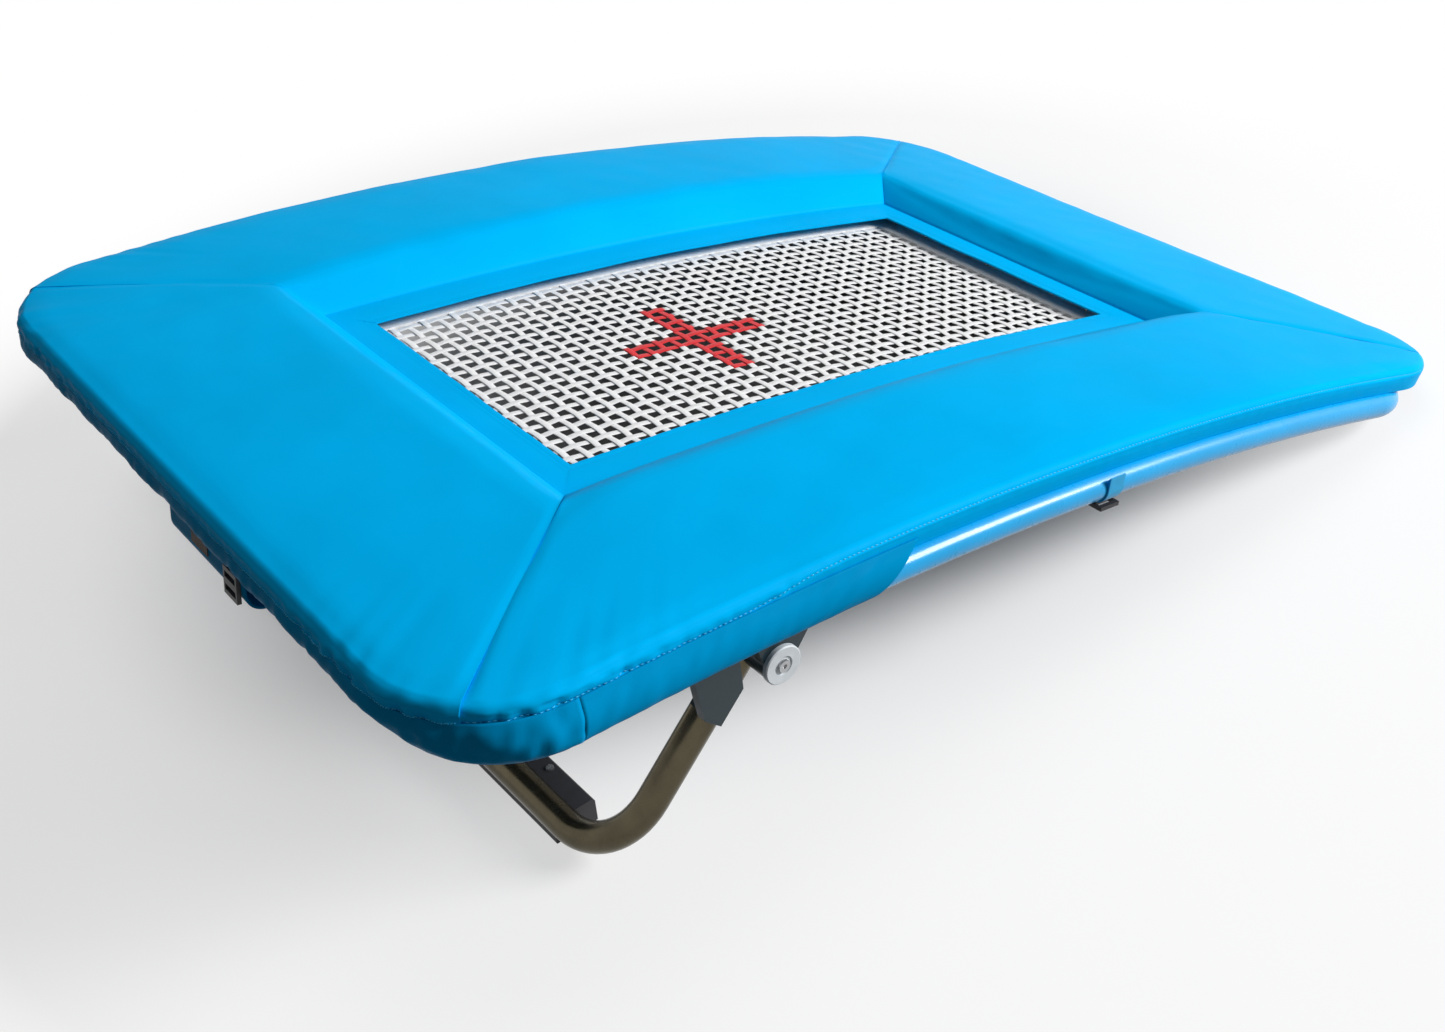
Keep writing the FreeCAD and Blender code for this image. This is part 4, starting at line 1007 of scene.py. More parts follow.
def cover_detail(section: PadSection, points: Array, where: Array, walk: Array) -> Array:
    """Heights of seams, gathers and soft dents on the cover, in millimetres.

    Args:
        section: The section of the pad.
        points: Its swollen grid.
        where: Part of the ring for each row.
        walk: Walk along the outer edge for each column.

    Returns:
        One height per grid point, outwards.
    """
    seed = list(Side).index(section.side)
    rings, walks = where[:, None], walk[None, :]

    def waves(across: float, along: Array, step: float, start: int) -> Array:
        """Waves that run across the ring."""
        places = np.stack([along + 0 * rings, rings * across + 0 * walks], -1)
        return ripple(places, step, start + seed)

    def beyond(line: Array) -> Array:
        """Distance past the wall's upper edge, in millimetres."""
        edge, wall = PAD.edge_radius * RELIEF.edge_turn, PAD.thickness - PAD.edge_radius
        return (line - WALL) * np.where(line < WALL, edge, wall)

    from_mitre = walk.max() - np.abs(walks)
    top = (rings >= 1) & (rings <= WALL)
    plan = points[..., :2]
    height = RELIEF.broad_wave[0] * ripple(plan, RELIEF.broad_wave[1], 40 + seed) * top
    height = height + RELIEF.fine_wave[0] * ripple(plan, RELIEF.fine_wave[1], 50 + seed) * top
    height = height - RELIEF.mitre_seam[0] * bell(from_mitre, RELIEF.mitre_seam[1])
    places = np.stack([rings * RELIEF.mitre_run + 0 * walks, from_mitre + 0 * rings], -1)
    pull = RELIEF.mitre_pull[0] * ripple(places, RELIEF.mitre_pull[1], 60 + seed)
    height = height + pull * bell(from_mitre - RELIEF.pull_from[0], RELIEF.pull_from[1]) * top
    # The seam under the rounded edge draws the cover in and gathers it
    seam = PAD.seam_part(points[3, :, 0])[None, :]
    from_seam = beyond(rings) - beyond(seam)
    height = height - RELIEF.edge_seam[0] * bell(from_seam, RELIEF.edge_seam[1])
    booted = np.clip((seam - PAD.seam_bare) / (PAD.seam_booted - PAD.seam_bare), 0, 1)
    corner = 1 / (1 + np.exp((from_mitre - RELIEF.corner_reach[0]) / RELIEF.corner_reach[1]))
    gathers = waves(RELIEF.gather_run, walks, RELIEF.gather_step, 70)
    over = (RELIEF.gathers_over, RELIEF.over_from, True)
    below = (RELIEF.gathers_under, RELIEF.under_from, rings < WALL + 1)
    for (bare, boot, bend), (middle, width), shown in (over, below):
        strength = bare + boot * booted + bend * corner * booted
        height = height + strength * gathers * bell(from_seam - middle, width) * shown
    dents = RELIEF.corner_dents[0] * waves(RELIEF.dent_run, walks, RELIEF.corner_dents[1], 80)
    shown = np.clip(rings - RELIEF.dents_from, 0, 1) * (rings <= WALL)
    return height + dents * corner * booted * shown


@dataclass(frozen=True)
class FlapSizes:
    """The thin flaps inside the pad, in millimetres."""

    tuck: float = 15.0
    step: float = 8.0
    half_thickness: float = 1.1
    over_bed: float = 19.2
    sag: float = 1.6
    wave: Pair = (0.7, 130.0)
    seam: Pair = (0.5, 1.4)
    seam_in: float = 9.0
    hem_rows: tuple[float, ...] = (0, 1.5, 4, 7, 9, 11)
    past_foot: float = 12.0


FLAP = FlapSizes()


@dataclass
class FramePad:
    """The foam pad with its cover, flaps, seams and stitches."""

    wardrobe: Wardrobe

    def build(self) -> None:
        """Make the four sections, their flaps and their stitches."""
        for side in Side:
            self.section(side)
            self.flap(side)

    def section(self, side: Side) -> Piece:
        """One mitred section of the pad.

        Args:
            side: Its side of the bed.

        Returns:
            The padded piece.
        """
        fine = PadSection(side, FINE_STEP, FINE_ROWS)
        points, where, walk = fine.grid()
        coarse = PadSection(side, COARSE_STEP, COARSE_ROWS)
        moves = swollen(coarse, SWELL_FRAMES)
        _, coarse_where, coarse_walk = coarse.grid()
        points = points + spread(moves, coarse_where, coarse_walk, where, walk)
        normals = grid_normals(points)
        points = points + normals * cover_detail(fine, points, where, walk)[..., None]
        piece = make_ring_piece("padded_" + side.value, points)
        piece.data.set_sharp_from_angle(angle=math.radians(62))
        self.wardrobe.dress(piece, "blue_cover")
        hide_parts("pad_" + side.value)
        self.stitch_seam(side, points, where, walk, normals)
        return piece

    def stitch_seam(self, side: Side, points: Array, where: Array, walk: Array,
                    normals: Array) -> None:
        """A row of stitches in the seam under the rounded edge.

        Args:
            side: The side of the bed.
            points: The section's finished grid.
            where: Part of the ring for each row.
            walk: Walk along the outer edge for each column.
            normals: The grid's normals.
        """
        part = PAD.seam_part(points[3, :, 0])
        place = np.interp(part, where[:WALL_ROWS], np.arange(float(WALL_ROWS)))
        low = np.floor(place).astype(int)
        share = (place - low)[:, None]
        columns = np.arange(len(walk))
        line = points[low, columns] * (1 - share) + points[low + 1, columns] * share
        facing = normals[low, columns]
        down = points[low + 1, columns] - points[low - 1, columns]
        stitches = stitch_row(line + facing * STITCH.proud, facing, down)
        self.wardrobe.dress(make_piece("seam_stitches_" + side.value, stitches), "thread")

    def flap(self, side: Side) -> Piece:
        """The thin flap inside one section, over the bed's edge.

        Args:
            side: Its side of the bed.

        Returns:
            The flap.
        """
        lengthwise = side in (Side.LEFT, Side.RIGHT)
        pick = 0 if lengthwise else 1
        free, foot = PAD.flap, PAD.foot
        tuck = FLAP.tuck / (foot[1] - free[1])
        half_free, half_foot = free[pick], foot[pick]
        out_free, out_foot = free[1 - pick], foot[1 - pick]
        columns = int(2 * half_foot / FLAP.step)
        across = np.concatenate([np.array(FLAP.hem_rows) / (out_foot - out_free),
                                 np.linspace(0.25, 1 + tuck, 9)])
        share = np.linspace(-1, 1, columns)
        section = PadSection(side, COARSE_STEP, COARSE_ROWS)
        rows_top, rows_low = [], []
        for part in across:
            half = half_free + (half_foot - half_free) * part
            out = out_free + (out_foot - out_free) * part
            plan = np.stack([share * half, np.full(columns, out)], -1)
            x, y = section.place(plan)
            bare = 1 - min(part, 1)
            wave = FLAP.wave[0] * ripple(np.stack([x, y], -1), FLAP.wave[1], 90 + pick) * bare
            from_seam = part * (out_foot - out_free) - FLAP.seam_in
            thick = FLAP.half_thickness - FLAP.seam[0] * bell(from_seam, FLAP.seam[1])
            z = LEVEL.bed_height(x) + FLAP.over_bed - FLAP.sag * bare**2 + wave
            rows_top.append(np.stack([x, y, z + thick], -1))
            rows_low.append(np.stack([x, y, z - thick], -1))
        points = np.concatenate([np.stack(rows_top), np.stack(rows_low[::-1])])
        piece = make_ring_piece("flap_cloth_" + side.value, points)
        piece.data.set_sharp_from_angle(angle=math.radians(50))
        self.wardrobe.dress(piece, "blue_cover")
        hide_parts("flap_" + side.value)
        return piece


@dataclass(frozen=True)
class StitchSizes:
    """Stitches of the pad's outer seam."""

    step: float = 6.0
    length: float = 4.0
    radius: float = 0.55
    proud: float = 0.1
    rise: float = 0.25
    dive: float = 0.7


STITCH = StitchSizes()


def stitch_row(line: Array, normals: Array, down: Array) -> Shape:
    """Stitches laid along a line.

    Args:
        line: Points of the line.
        normals: The surface's normals there.
        down: A direction across the line at each point.

    Returns:
        The stitches as one shape.
    """
    lengths = np.concatenate([[0], np.cumsum(np.linalg.norm(np.diff(line, axis=0), axis=1))])
    ring = circle(4, STITCH.radius)
    sinks = np.array([-STITCH.dive, STITCH.rise, STITCH.rise, -STITCH.dive])
    shapes = []
    for start in np.arange(STITCH.step, lengths[-1] - STITCH.step, STITCH.step):
        spots = start + np.array([-0.5, -0.2, 0.2, 0.5]) * STITCH.length
        path, lift, way = (
            np.stack([np.interp(spots, lengths, column) for column in along.T], -1)
            for along in (line, normals, down))
        way /= np.linalg.norm(way, axis=1)[:, None]
        shapes.append(swept(path + lift * sinks[:, None], ring, way))
    return merged(shapes)


# Bed


@dataclass
class BedSizes:
    """The woven bed and its mark."""

    half_length: float = 468.0
    half_width: float = 228.0
    pitch_along: float = 21.8
    pitch_across: float = 21.0
    band: float = 9.3
    band_thickness: float = 0.9
    wave: float = 0.55
    mark_middle: float = -79.0
    mark_arms: Pair = (103.0, 99.5)
    mark_width: float = 15.6
    sag: float = 0.6
    drop: float = 1.3
    flat_over: float = 4.6
    dips_to: float = 8.2
    dip: Pair = (10.6, 4.5)
    rounded: float = 0.8
    covered: float = 0.62

    def in_mark(self, x: Array, y: Array) -> Array:
        """Whether places on the bed belong to the mark.

        Args:
            x: Level x of the places.
            y: Level y of the places.

        Returns:
            True for each place in the mark.
        """
        along = (np.abs(x - self.mark_middle) < self.mark_arms[0]) & (np.abs(y) < self.mark_width)
        across = (np.abs(x - self.mark_middle) < self.mark_width) & (np.abs(y) < self.mark_arms[1])
        return along | across


@dataclass
class Bed:
    """Woven bands of the bed and its mark."""

    wardrobe: Wardrobe
    sizes: BedSizes = field(default_factory=BedSizes)

    def build(self) -> None:
        """Make the bands of the bed and of its mark."""
        sizes = self.sizes
        first = sizes.mark_middle - sizes.pitch_along / 2
        count = int((sizes.half_length + first) / sizes.pitch_along)
        xs = np.arange(first - count * sizes.pitch_along, sizes.half_length, sizes.pitch_along)
        half = sizes.pitch_across / 2
        ys = np.arange(-10 * sizes.pitch_across - half, sizes.half_width, sizes.pitch_across)
        white, red = [], []
        for number, x in enumerate(xs):
            ends = np.stack([np.full(2, x), [-sizes.half_width, sizes.half_width]], -1)
            self.band(ends, ys, 1, number, white, red)
        for number, y in enumerate(ys):
            ends = np.stack([[-sizes.half_length, sizes.half_length], np.full(2, y)], -1)
            self.band(ends, xs, 0, number + 1, white, red)
        web = make_piece("woven_bands", merged(white))
        self.wardrobe.dress(web, "bed_webbing")
        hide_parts("bed_web")
        mark = make_piece("woven_mark", merged(red))
        self.wardrobe.dress(mark, "red_webbing")
        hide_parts("centre_mark")

    def band(self, ends: Array, crossings: Array, axis: int, turn: int, white: list[Shape],
             red: list[Shape]) -> None:
        """One band of the weave, over and under those that it crosses.

        Args:
            ends: Plan points of the band's two ends.
            crossings: Where other bands cross it, along its axis.
            axis: 0 for a band along the bed, 1 for one across it.
            turn: Even bands start over, odd ones under.
            white: Shapes of the white bands so far.
            red: Shapes of the mark's bands so far.
        """
        sizes = self.sizes
        steps = [ends[0, axis]]
        for spot in crossings:
            steps += [spot - sizes.dips_to, spot - sizes.flat_over, spot, spot + sizes.flat_over,
                      spot + sizes.dips_to]
        steps = np.array(sorted(set(steps + [ends[1, axis]])))
        near = np.argmin(np.abs(steps[:, None] - crossings[None]), axis=1)
        side = np.where((near + turn) % 2 == 0, 1.0, -1.0)
        gap = np.abs(steps - crossings[near])
        lift = side * sizes.wave * np.clip((sizes.dip[0] - gap) / sizes.dip[1], 0, 1)
        x = steps if axis == 0 else np.full(len(steps), ends[0, 0])
        y = steps if axis == 1 else np.full(len(steps), ends[0, 1])
        sag = sizes.sag * (1 - (y / LEVEL.bed_half_width) ** 2)
        z = LEVEL.bed_height(x) - sizes.drop + lift - sag
        path = np.stack([x, y, z], -1)
        wide, thick = sizes.band / 2, sizes.band_thickness / 2
        flat = wide - sizes.rounded
        ring = np.array([[-wide, 0], [-flat, thick], [flat, thick], [wide, 0], [flat, -thick],
                         [-flat, -thick]])
        sideways = np.array([0.0, 1.0, 0.0]) if axis == 0 else np.array([-1.0, 0.0, 0.0])
        marked = sizes.in_mark(x, y)
        start = 0
        for index in range(1, len(steps) + 1):
            if index == len(steps) or marked[index] != marked[start]:
                stop = min(index + (0 if index == len(steps) else 1), len(steps))
                if stop - start > 1:
                    shapes = red if marked[start] else white
                    shapes.append(swept(path[start:stop], ring, sideways))
                start = index


# Springs


@dataclass
class Springs:
    """Closed coil springs between the bed's rods and the frame's rods."""

    wardrobe: Wardrobe
    coil_radius: float = 8.0
    wire: float = 3.0
    groove: float = 1.1
    lead: float = 0.9
    sides: int = 8
    hook: float = 24.0
    hook_turn: Pair = (30.0, 265.0)
    rod_radius: float = 4.0
    rod_gap: float = 0.3
    pitch: float = 66.0
    side_count: int = 15
    side_span: Pair = (276.0, 524.5)
    end_count: int = 8
    end_span: Pair = (516.0, 719.5)
    under_bed: float = 1.5
    over_rail: float = 8.0

    def spring(self, start: Array, end: Array) -> Shape:
        """One spring between two rods' axes.

        Args:
            start: A point on the bed rod's axis.
            end: A point on the frame rod's axis.

        Returns:
            The coil and its two hooks as one shape.
        """
        way = end - start
        span = np.linalg.norm(way)
        way /= span
        side = np.cross(way, [0, 0, 1.0])
        side /= np.linalg.norm(side)
        up = np.cross(side, way)
        coil = span - 2 * self.hook
        turns = int(coil / self.wire)
        around = np.linspace(0, 2 * math.pi, self.sides + 1)[:-1, None]
        rings = np.arange(2 * turns + 1)
        deep = np.where(rings % 2 == 0, self.coil_radius - self.groove, self.coil_radius)
        along = self.hook + rings * coil / (2 * turns) + around / (2 * math.pi) * self.lead
        out = np.cos(around)[..., None] * side + np.sin(around)[..., None] * up
        points = start + along[..., None] * way + deep[:, None] * out
        shapes = [(points.reshape(-1, 3), grid_faces(*points.shape[:2]))]
        thread = circle(6, self.wire / 2)
        loop = self.rod_radius + self.rod_gap + self.wire / 2
        for origin, direction in ((start, way), (end, -way)):
            path = [origin + direction * (self.hook + 1),
                    origin + direction * (self.hook - 5) + up * loop * 0.5]
            for turn in np.radians(np.linspace(*self.hook_turn, 12)):
                path.append(origin + direction * loop * math.cos(turn) + up * loop * math.sin(turn))
            shapes.append(swept(np.array(path), thread, side))
        return merged(shapes)

    def build(self) -> None:
        """Make the four rows of springs."""
        for side, sign in ((Side.LEFT, 1), (Side.RIGHT, -1)):
            shapes = []
            for number in range(self.side_count):
                x = (number - (self.side_count - 1) / 2) * self.pitch
                bed = np.array([x, sign * self.side_span[0], LEVEL.bed_height(x) - self.under_bed])
                height = LEVEL.rail_height(x) + self.over_rail
                shapes.append(self.spring(bed, np.array([x, sign * self.side_span[1], height])))
            self.row(side, shapes)
        for side, sign in ((Side.HIGH, -1), (Side.LOW, 1)):
            shapes = []
            from_height = LEVEL.bed_height(LEVEL.bed_half_length) - self.under_bed
            height = LEVEL.rail_height(LEVEL.half_length) + self.over_rail
            for number in range(self.end_count):
                y = (number - (self.end_count - 1) / 2) * self.pitch
                bed = np.array([sign * self.end_span[0], y, from_height])
                shapes.append(self.spring(bed, np.array([sign * self.end_span[1], y, height])))
            self.row(side, shapes)

    def row(self, side: Side, shapes: list[Shape]) -> None:
        """One side's springs as a piece.

        Args:
            side: Their side of the bed.
            shapes: The springs.
        """
        piece = make_piece("coil_springs_" + side.value, merged(shapes))
        self.wardrobe.dress(piece, "zinc_steel")
        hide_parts("springs_" + side.value)


# Skirt


@dataclass
class Skirt:
    """Cloth that boots the high end, from the pad's edge down round the tube."""

    wardrobe: Wardrobe
    cloth: float = 1.8
    play: float = 2.0
    top: float = 31.0
    knee: float = 13.0
    round_out: float = 19.6
    turned_in: float = 4.0
    lean: float = 2.4
    hem_end: float = -308.0
    top_end: float = -232.0
    folds: tuple[Pair, ...] = ((1.3, 58.0), (0.7, 21.0))
    fold_run: float = 55.0
    side_folds: float = 0.6
    fades_over: float = 60.0
    end_folds: float = 1.2
    corner_folds: float = 0.8
    corner_steps: int = 44
    end_step: float = 5.0
    end_taper: float = 0.14

    def profile(self, over: float, count: int = 26) -> Array:
        """The cloth's line from its top down, as offsets from the tube's axis and heights.

        Args:
            over: How far the pad reaches over the tube's axis.
            count: Number of points, evenly spaced along the line.

        Returns:
            Two columns: offset and height.
        """
        eighth = self.round_out * math.tan(math.radians(22.5))
        wide = over + self.play
        line = np.array([(wide - self.lean, self.top), (max(wide, self.round_out), self.knee),
                         (self.round_out, -eighth), (eighth, -self.round_out),
                         (self.turned_in, -self.round_out)])
        for _ in range(3):
            softer = np.empty((2 * len(line), 2))
            softer[0], softer[-1] = line[0], line[-1]
            softer[1:-1:2] = line[:-1] * 0.75 + line[1:] * 0.25
            softer[2::2] = line[:-1] * 0.25 + line[1:] * 0.75
            line = softer
        steps = np.concatenate([[0], np.cumsum(np.linalg.norm(np.diff(line, axis=0), axis=1))])
        even = np.linspace(0, steps[-1], count)
        return np.stack([np.interp(even, steps, column) for column in line.T], -1)

    def build(self) -> None:
        """Make the skirt's three cloths."""
        for side, sign in ((Side.LEFT, 1), (Side.RIGHT, -1)):
            self.beside(side, sign)
        self.round_end()

    def cloth_of(self, name: str, centre: Array, outward: Array, walk: Array, over: Array,
                 shear: Array, strength: Array, seed: int) -> Piece:
        """A skirt cloth swept along stations.

        Args:
            name: Name of the piece.
            centre: The tube's axis at each station.
            outward: Unit direction away from the frame at each station.
            walk: Length along the skirt at each station.
            over: How far the pad reaches over the tube's axis at each station.
            shear: How far the hem runs ahead of the top at each station.
            strength: Strength of the folds at each station.
            seed: Picks the folds.

        Returns:
            The cloth.
        """
        lines = np.stack([self.profile(reach) for reach in over], 1)
        rows = len(lines)
        share = np.linspace(0, 1, rows)[:, None]
        flow = np.gradient(lines, axis=0)
        flow /= np.linalg.norm(flow, axis=-1, keepdims=True)
        up = np.array([0, 0, 1.0])
        normal = outward[None] * -flow[..., 1:] + up * flow[..., :1]
        along = np.gradient(centre, axis=0)
        along /= np.linalg.norm(along, axis=1)[:, None]
        places = np.stack([walk[None] + 0 * share, share * self.fold_run + 0 * walk[None]], -1)
        waves = sum(height * ripple(places, step, seed + number)
                    for number, (height, step) in enumerate(self.folds))
        waves = strength * waves * np.sin(math.pi * np.minimum(1, share * 1.1 + 0.04)) ** 0.7
        middle = centre[None] + outward[None] * lines[..., :1] + up * lines[..., 1:]
        middle = middle + along[None] * (shear * share)[..., None] + normal * waves[..., None]
        half = normal * self.cloth / 2
        points = np.concatenate([middle + half, (middle - half)[::-1]])
        piece = make_ring_piece(name, points)
        # The cloth gets the cover's blue darkened as painted shade
        self.wardrobe.dress(piece, "skirt_cover_painted_shade")
        return piece

    def beside(self, side: Side, sign: int) -> None:
        """The cloth along one side rail.

        Args:
            side: The side.
            sign: 1 to the left, -1 to the right.
        """
        x = np.arange(-LEVEL.corner_start, self.top_end + 0.1, 4.0)
        centre = np.stack([x, np.full(len(x), sign * LEVEL.half_width), LEVEL.rail_height(x)], -1)
        outward = np.tile([0.0, float(sign), 0.0], (len(x), 1))
        share = np.clip((x - x[0]) / (x[-1] - x[0]), 0, 1)
        shear = share * (self.hem_end - self.top_end)
        strength = np.clip((self.top_end - x) / self.fades_over, 0, 1) * self.side_folds
        over = np.full(len(x), PAD.outer[1] - LEVEL.half_width)
        piece = self.cloth_of("skirt_cloth_" + side.value, centre, outward, x, over, shear,
                              strength, 110 + sign)
        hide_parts("skirt_" + side.value)

    def over_corner(self, turn: float) -> float:
        """How far the pad reaches over the tube's axis, turned round a high end corner.

        Args:
            turn: Angle round the corner, from the side rail.

        Returns:
            The reach, in millimetres.
        """
        high_end = -float(PAD.plan_x(np.array(-PAD.outer[0])))
        away_x = high_end - PAD.corner - LEVEL.corner_start
        away_y = PAD.outer[1] - PAD.corner - LEVEL.half_width + LEVEL.corner_radius
        ahead = away_x * math.sin(turn) + away_y * math.cos(turn)
        aside = away_x * math.cos(turn) - away_y * math.sin(turn)
        return ahead + math.sqrt(PAD.corner**2 - aside**2) - LEVEL.corner_radius

    def round_end(self) -> None:
        """The cloth round both high corners and along the end tube."""
        radius = LEVEL.corner_radius
        centre_z = float(LEVEL.rail_height(LEVEL.corner_start))
        along = np.array([-math.cos(LEVEL.slope), 0, -math.sin(LEVEL.slope)])
        end_over = -float(PAD.plan_x(np.array(-PAD.outer[0]))) - LEVEL.half_length
        centres, outwards, overs = [], [], []
        turns = np.radians(np.linspace(0, 90, self.corner_steps))
        straight = LEVEL.half_width - radius
        for sign in (1, -1):
            corner_centre = np.array([-LEVEL.corner_start, sign * straight, centre_z])
            for turn in turns if sign > 0 else turns[::-1]:
                outward = along * math.sin(turn) + np.array([0, 1.0, 0]) * sign * math.cos(turn)
                centres.append(corner_centre + outward * radius)
                outwards.append(outward)
                overs.append(self.over_corner(turn))
            if sign > 0:
                for y in np.arange(straight - self.end_step, -straight + 1, -self.end_step):
                    centres.append(corner_centre * [1, 0, 1] + along * radius + [0, y, 0])
                    outwards.append(along)
                    past = (straight - abs(y)) * self.end_taper
                    overs.append(min(end_over, overs[len(turns) - 1] + past))
        centre, outward = np.array(centres), np.array(outwards)
        edge = centre + outward * self.round_out
        walk = np.concatenate([[0], np.cumsum(np.linalg.norm(np.diff(edge, axis=0), axis=1))])
        bend = np.abs(outward[:, 1])
        strength = self.end_folds + self.corner_folds * np.clip(bend * 3, 0, 1)
        piece = self.cloth_of("skirt_cloth_end", centre, outward, walk, np.array(overs),
                              np.zeros(len(walk)), strength, 120)
        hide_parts("skirt_end")


# Frame and leg


def on_sides(*names: str, sides: Sequence[str] = ("left", "right")) -> list[str]:
    """Names of pieces that come once per side."""
    return [name + "_" + side for name in names for side in sides]


EVERY_SIDE = ("left", "right", "high", "low")
DRESSED = {
    "frame_paint": on_sides("side_rail", "corner_bend_high", "corner_bend_low") + [
        "end_tube_high", "end_tube_low"],
    "painted_shade_paint": on_sides("hinge_housing", "hinge_bracket", "leg_stop"),
    "leg_steel": ["leg_tube"],
    "zinc_steel": on_sides("anchor_rod", sides=EVERY_SIDE) + on_sides("hinge_axle") + [
        "hem_rods", "cap_screws", "foot_strip_screws"],
    "grey_cap": on_sides("hinge_cap"),
    "black_rubber": on_sides("floor_sleeve") + ["foot_strip", "stop_buffers"],
    "bush_plastic": ["hinge_bushes"],
    "bed_webbing": on_sides("hem", sides=EVERY_SIDE),
    "skirt_cover_painted_shade": ["skirt_tab"],
    "blue_webbing": on_sides("strap") + ["straps_low"],
    "black_plastic": on_sides("strap_buckle") + ["tab_buckle"],
    "hook_patch": ["tab_patch"],
}
# Radius of the soft edges of plates and moulded pieces, in millimetres
SOFT_EDGES = {"hinge_bracket": 1.5, "leg_stop": 1.5, "hinge_housing": 0.8, "hinge_cap": 0.9,
              "foot_strip": 1.2, "strap_buckle": 0.8, "tab_buckle": 0.8, "stop_buffers": 0.8,
              "skirt_tab": 0.6, "tab_patch": 0.4}


@dataclass
class FrameAndLeg:
    """The solid pieces of the frame and the folding leg, which keep the shapes they come with."""

    wardrobe: Wardrobe
    crease: float = math.radians(32)
    rounded: float = math.radians(40)
    bevel_steps: int = 2

    def dress(self, nodes: dict[str, Piece]) -> None:
        """Give every solid piece its finish and soft edges.

        Args:
            nodes: The pieces by name.
        """
        for finish, names in DRESSED.items():
            for name in names:
                mesh = nodes[name].data
                mesh.polygons.foreach_set("use_smooth", [True] * len(mesh.polygons))
                mesh.set_sharp_from_angle(angle=self.crease)
                radius = SOFT_EDGES.get(name.removesuffix("_left").removesuffix("_right"))
                if radius:
                    self.soften(nodes[name], radius)
                self.wardrobe.dress(nodes[name], finish)

    def soften(self, piece: Piece, radius: float) -> None:
        """Round a piece's edges.

        Args:
            piece: The piece.
            radius: Radius of its edges, in millimetres.
        """
        bevel = piece.modifiers.new("soft edges", "BEVEL")
        bevel.width = radius / 1000
        bevel.segments = self.bevel_steps
        bevel.limit_method = "ANGLE"
        bevel.angle_limit = self.rounded
        bevel.harden_normals = True


# Studio


LAMP_AIM = Vector((0, 0, 0.2))


@dataclass(frozen=True)
class Lamp:
    """A soft square lamp aimed at the bed, in metres and watts."""

    name: str
    place: Triple
    size: float
    power: float

    def hang(self) -> None:
        """Put the lamp in the scene."""
        lamp = bpy.data.lights.new(self.name, "AREA")
        lamp.size = self.size
        lamp.energy = self.power
        holder = bpy.data.objects.new(self.name, lamp)
        holder.location = self.place
        way = LAMP_AIM - Vector(self.place)
        holder.rotation_euler = way.to_track_quat("-Z", "Y").to_euler()
        bpy.context.scene.collection.objects.link(holder)


LAMPS = (Lamp("key", (7.6, -6.6, 5.4), 4.2, 1590.0), Lamp("top", (0.2, 0.3, 3.3), 2.2, 22.0),
         Lamp("side", (2.6, -1.64, 1.4), 0.8, 8.0))
WHITE = (1, 1, 1, 1)


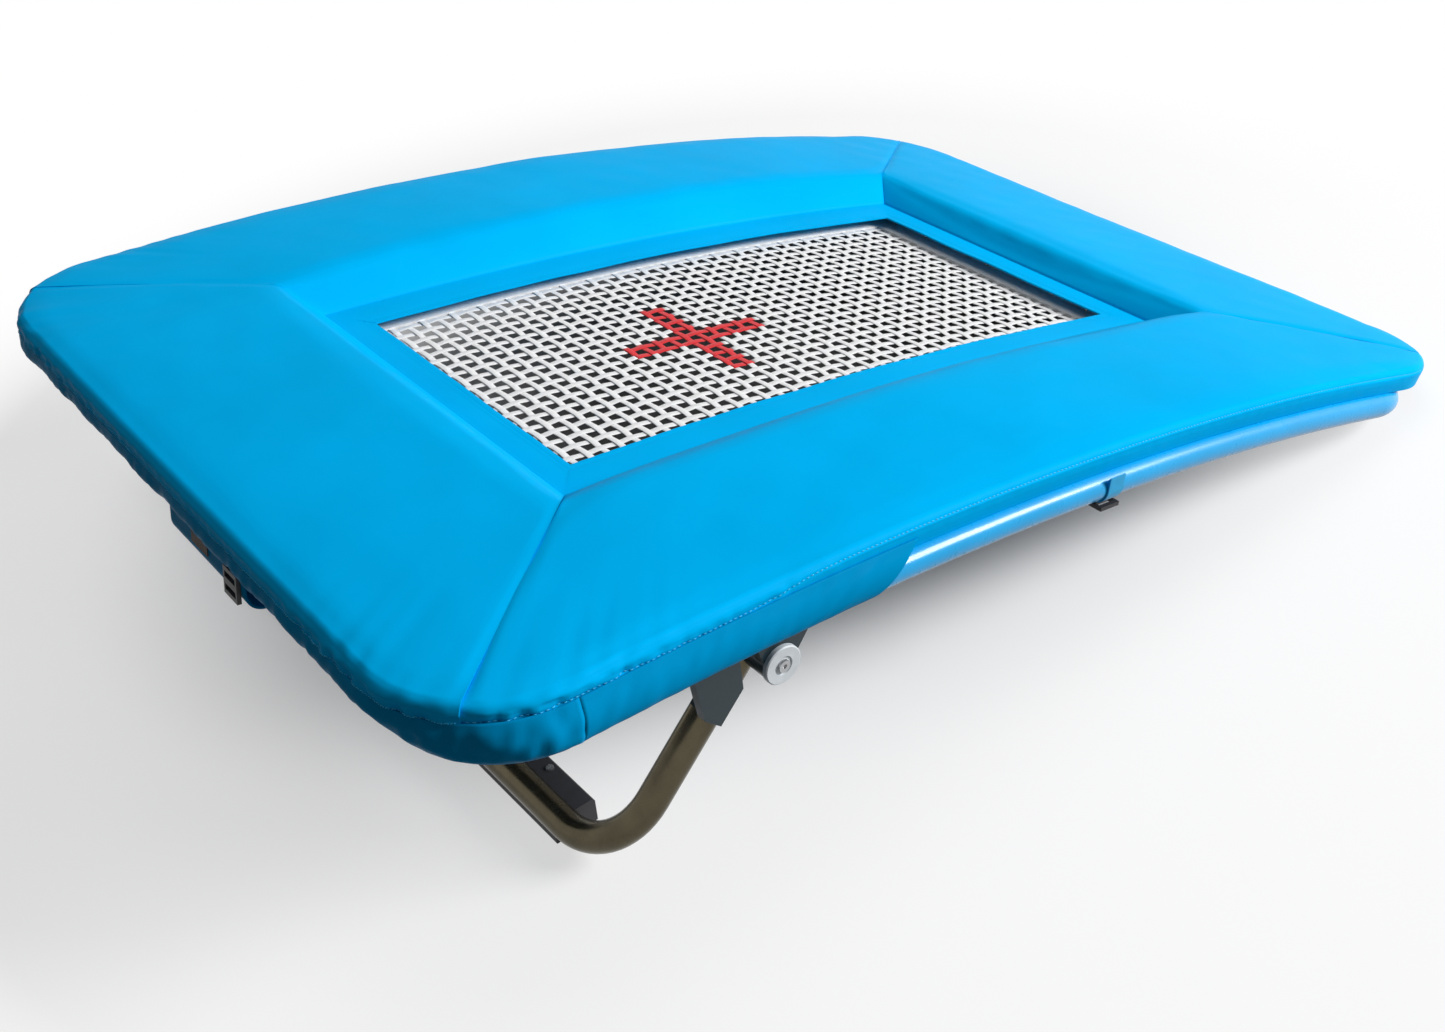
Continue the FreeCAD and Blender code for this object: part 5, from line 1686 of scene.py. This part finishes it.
@dataclass
class Studio:
    """Pale floor with a painted shadow under the trampoline, soft light and the camera."""

    camera_place: Triple = (-1339.5, -1519.6, 859.1)
    camera_aim: Triple = (0.57384, 0.65278, -0.49457)
    camera_down: Triple = (-0.25617, -0.43051, -0.86546)
    lens: float = 41.13
    sky: float = 0.1
    floor_radius: float = 14.0
    shadow_reach: Pair = (0.75, 1.45)
    # Distances from the middle of the painted shadow pool over which it fades to the pale floor, in
    # metres
    painted_shadow_span: Pair = (0.25, 1.1)
    paler_past: Pair = (0.7, 1.3)
    paler: float = 0.62

    def build(self) -> None:
        """Make the floor, the lamps, the sky and the camera."""
        self.floor()
        for lamp in LAMPS:
            lamp.hang()
        self.world()
        self.camera()

    def floor(self) -> None:
        """A pale floor that is white where it is seen and keeps the real shadow, with a painted
        shadow: its colour darkens in a soft pool under the trampoline.
        """
        bpy.ops.mesh.primitive_circle_add(vertices=96, radius=self.floor_radius, fill_type="NGON")
        floor = bpy.context.object
        floor.name = "floor"
        graph = Graph("pale floor")
        grain = graph.noise(3.0)
        tone = graph.ramp(grain, [(0.0, (0.20, 0.20, 0.20)), (1.0, (0.22, 0.22, 0.22))])
        graph.set(Base_Color=tone, Roughness=0.95, Specular_IOR_Level=0.0)
        # Painted shadow: the floor's colour goes from 0.95 down to 0.1 towards a spot under the
        # trampoline, so the floor seen through the bed reads dark
        under = graph.add("Mapping", {"Vector": graph.place, "Location": (-0.14, -0.22, 0),
                                      "Scale": (1.25, 1.6, 1)}).outputs[0]
        depth = graph.add("VectorMath", {0: under}, operation="LENGTH").outputs["Value"]
        soft = graph.span(depth, self.painted_shadow_span, (0, 1), "SMOOTHERSTEP")
        painted_shadow_tone = graph.ramp(soft, [(0.0, (0.1, 0.1, 0.1)), (1.0, (0.95, 0.95, 0.95))])
        pale = graph.add("BsdfDiffuse", {"Color": painted_shadow_tone})
        glow = graph.add("Emission", {"Color": WHITE, "Strength": 1.0})
        reach = graph.add("VectorMath", {0: graph.place}, operation="LENGTH").outputs["Value"]
        white = graph.maths("MAXIMUM", graph.span(reach, self.shadow_reach, (0, 1), "SMOOTHSTEP"),
                            graph.span(depth, self.paler_past, (0, self.paler), "SMOOTHSTEP"))
        mixed = graph.mixed(graph.seen(), graph.shader, graph.mixed(white, pale, glow))
        graph.links.new(mixed.outputs[0], graph.output.inputs[0])
        floor.data.materials.append(graph.material)

    def world(self) -> None:
        """A white sky that lights plainly."""
        world = bpy.data.worlds.new("studio")
        tree = NodeTree(world)
        lights = tree.add("Background", {"Color": WHITE, "Strength": self.sky})
        shows = tree.add("Background", {"Color": WHITE})
        mixed = tree.mixed(tree.seen(), lights, shows)
        tree.links.new(mixed.outputs[0], tree.add("OutputWorld").inputs[0])
        bpy.context.scene.world = world
        bpy.context.scene.view_settings.view_transform = "Standard"

    def camera(self) -> None:
        """The camera at the photograph's viewpoint."""
        data = bpy.data.cameras.new("camera")
        data.lens = self.lens
        data.sensor_width = 36
        data.clip_end = 60
        camera = bpy.data.objects.new("camera", data)
        back = -LEVEL.face(self.camera_aim)
        up = -LEVEL.face(self.camera_down)
        right = up.cross(back).normalized()
        turn = Matrix((right, up, back)).transposed()
        place = LEVEL.stand(np.array(self.camera_place))
        camera.matrix_world = Matrix.Translation(place.tolist()) @ turn.to_4x4()
        bpy.context.scene.collection.objects.link(camera)
        bpy.context.scene.camera = camera


def main() -> None:
    """Build the scene."""
    logging.basicConfig(level=logging.INFO, format="%(name)s: %(message)s")
    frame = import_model()
    wardrobe = Wardrobe({material["slot"] for material in frame["record"]["materials"]})
    FrameAndLeg(wardrobe).dress(frame["nodes"])
    FramePad(wardrobe).build()
    Bed(wardrobe).build()
    Springs(wardrobe).build()
    Skirt(wardrobe).build()
    Studio().build()


if __name__ == "__main__":
    main()
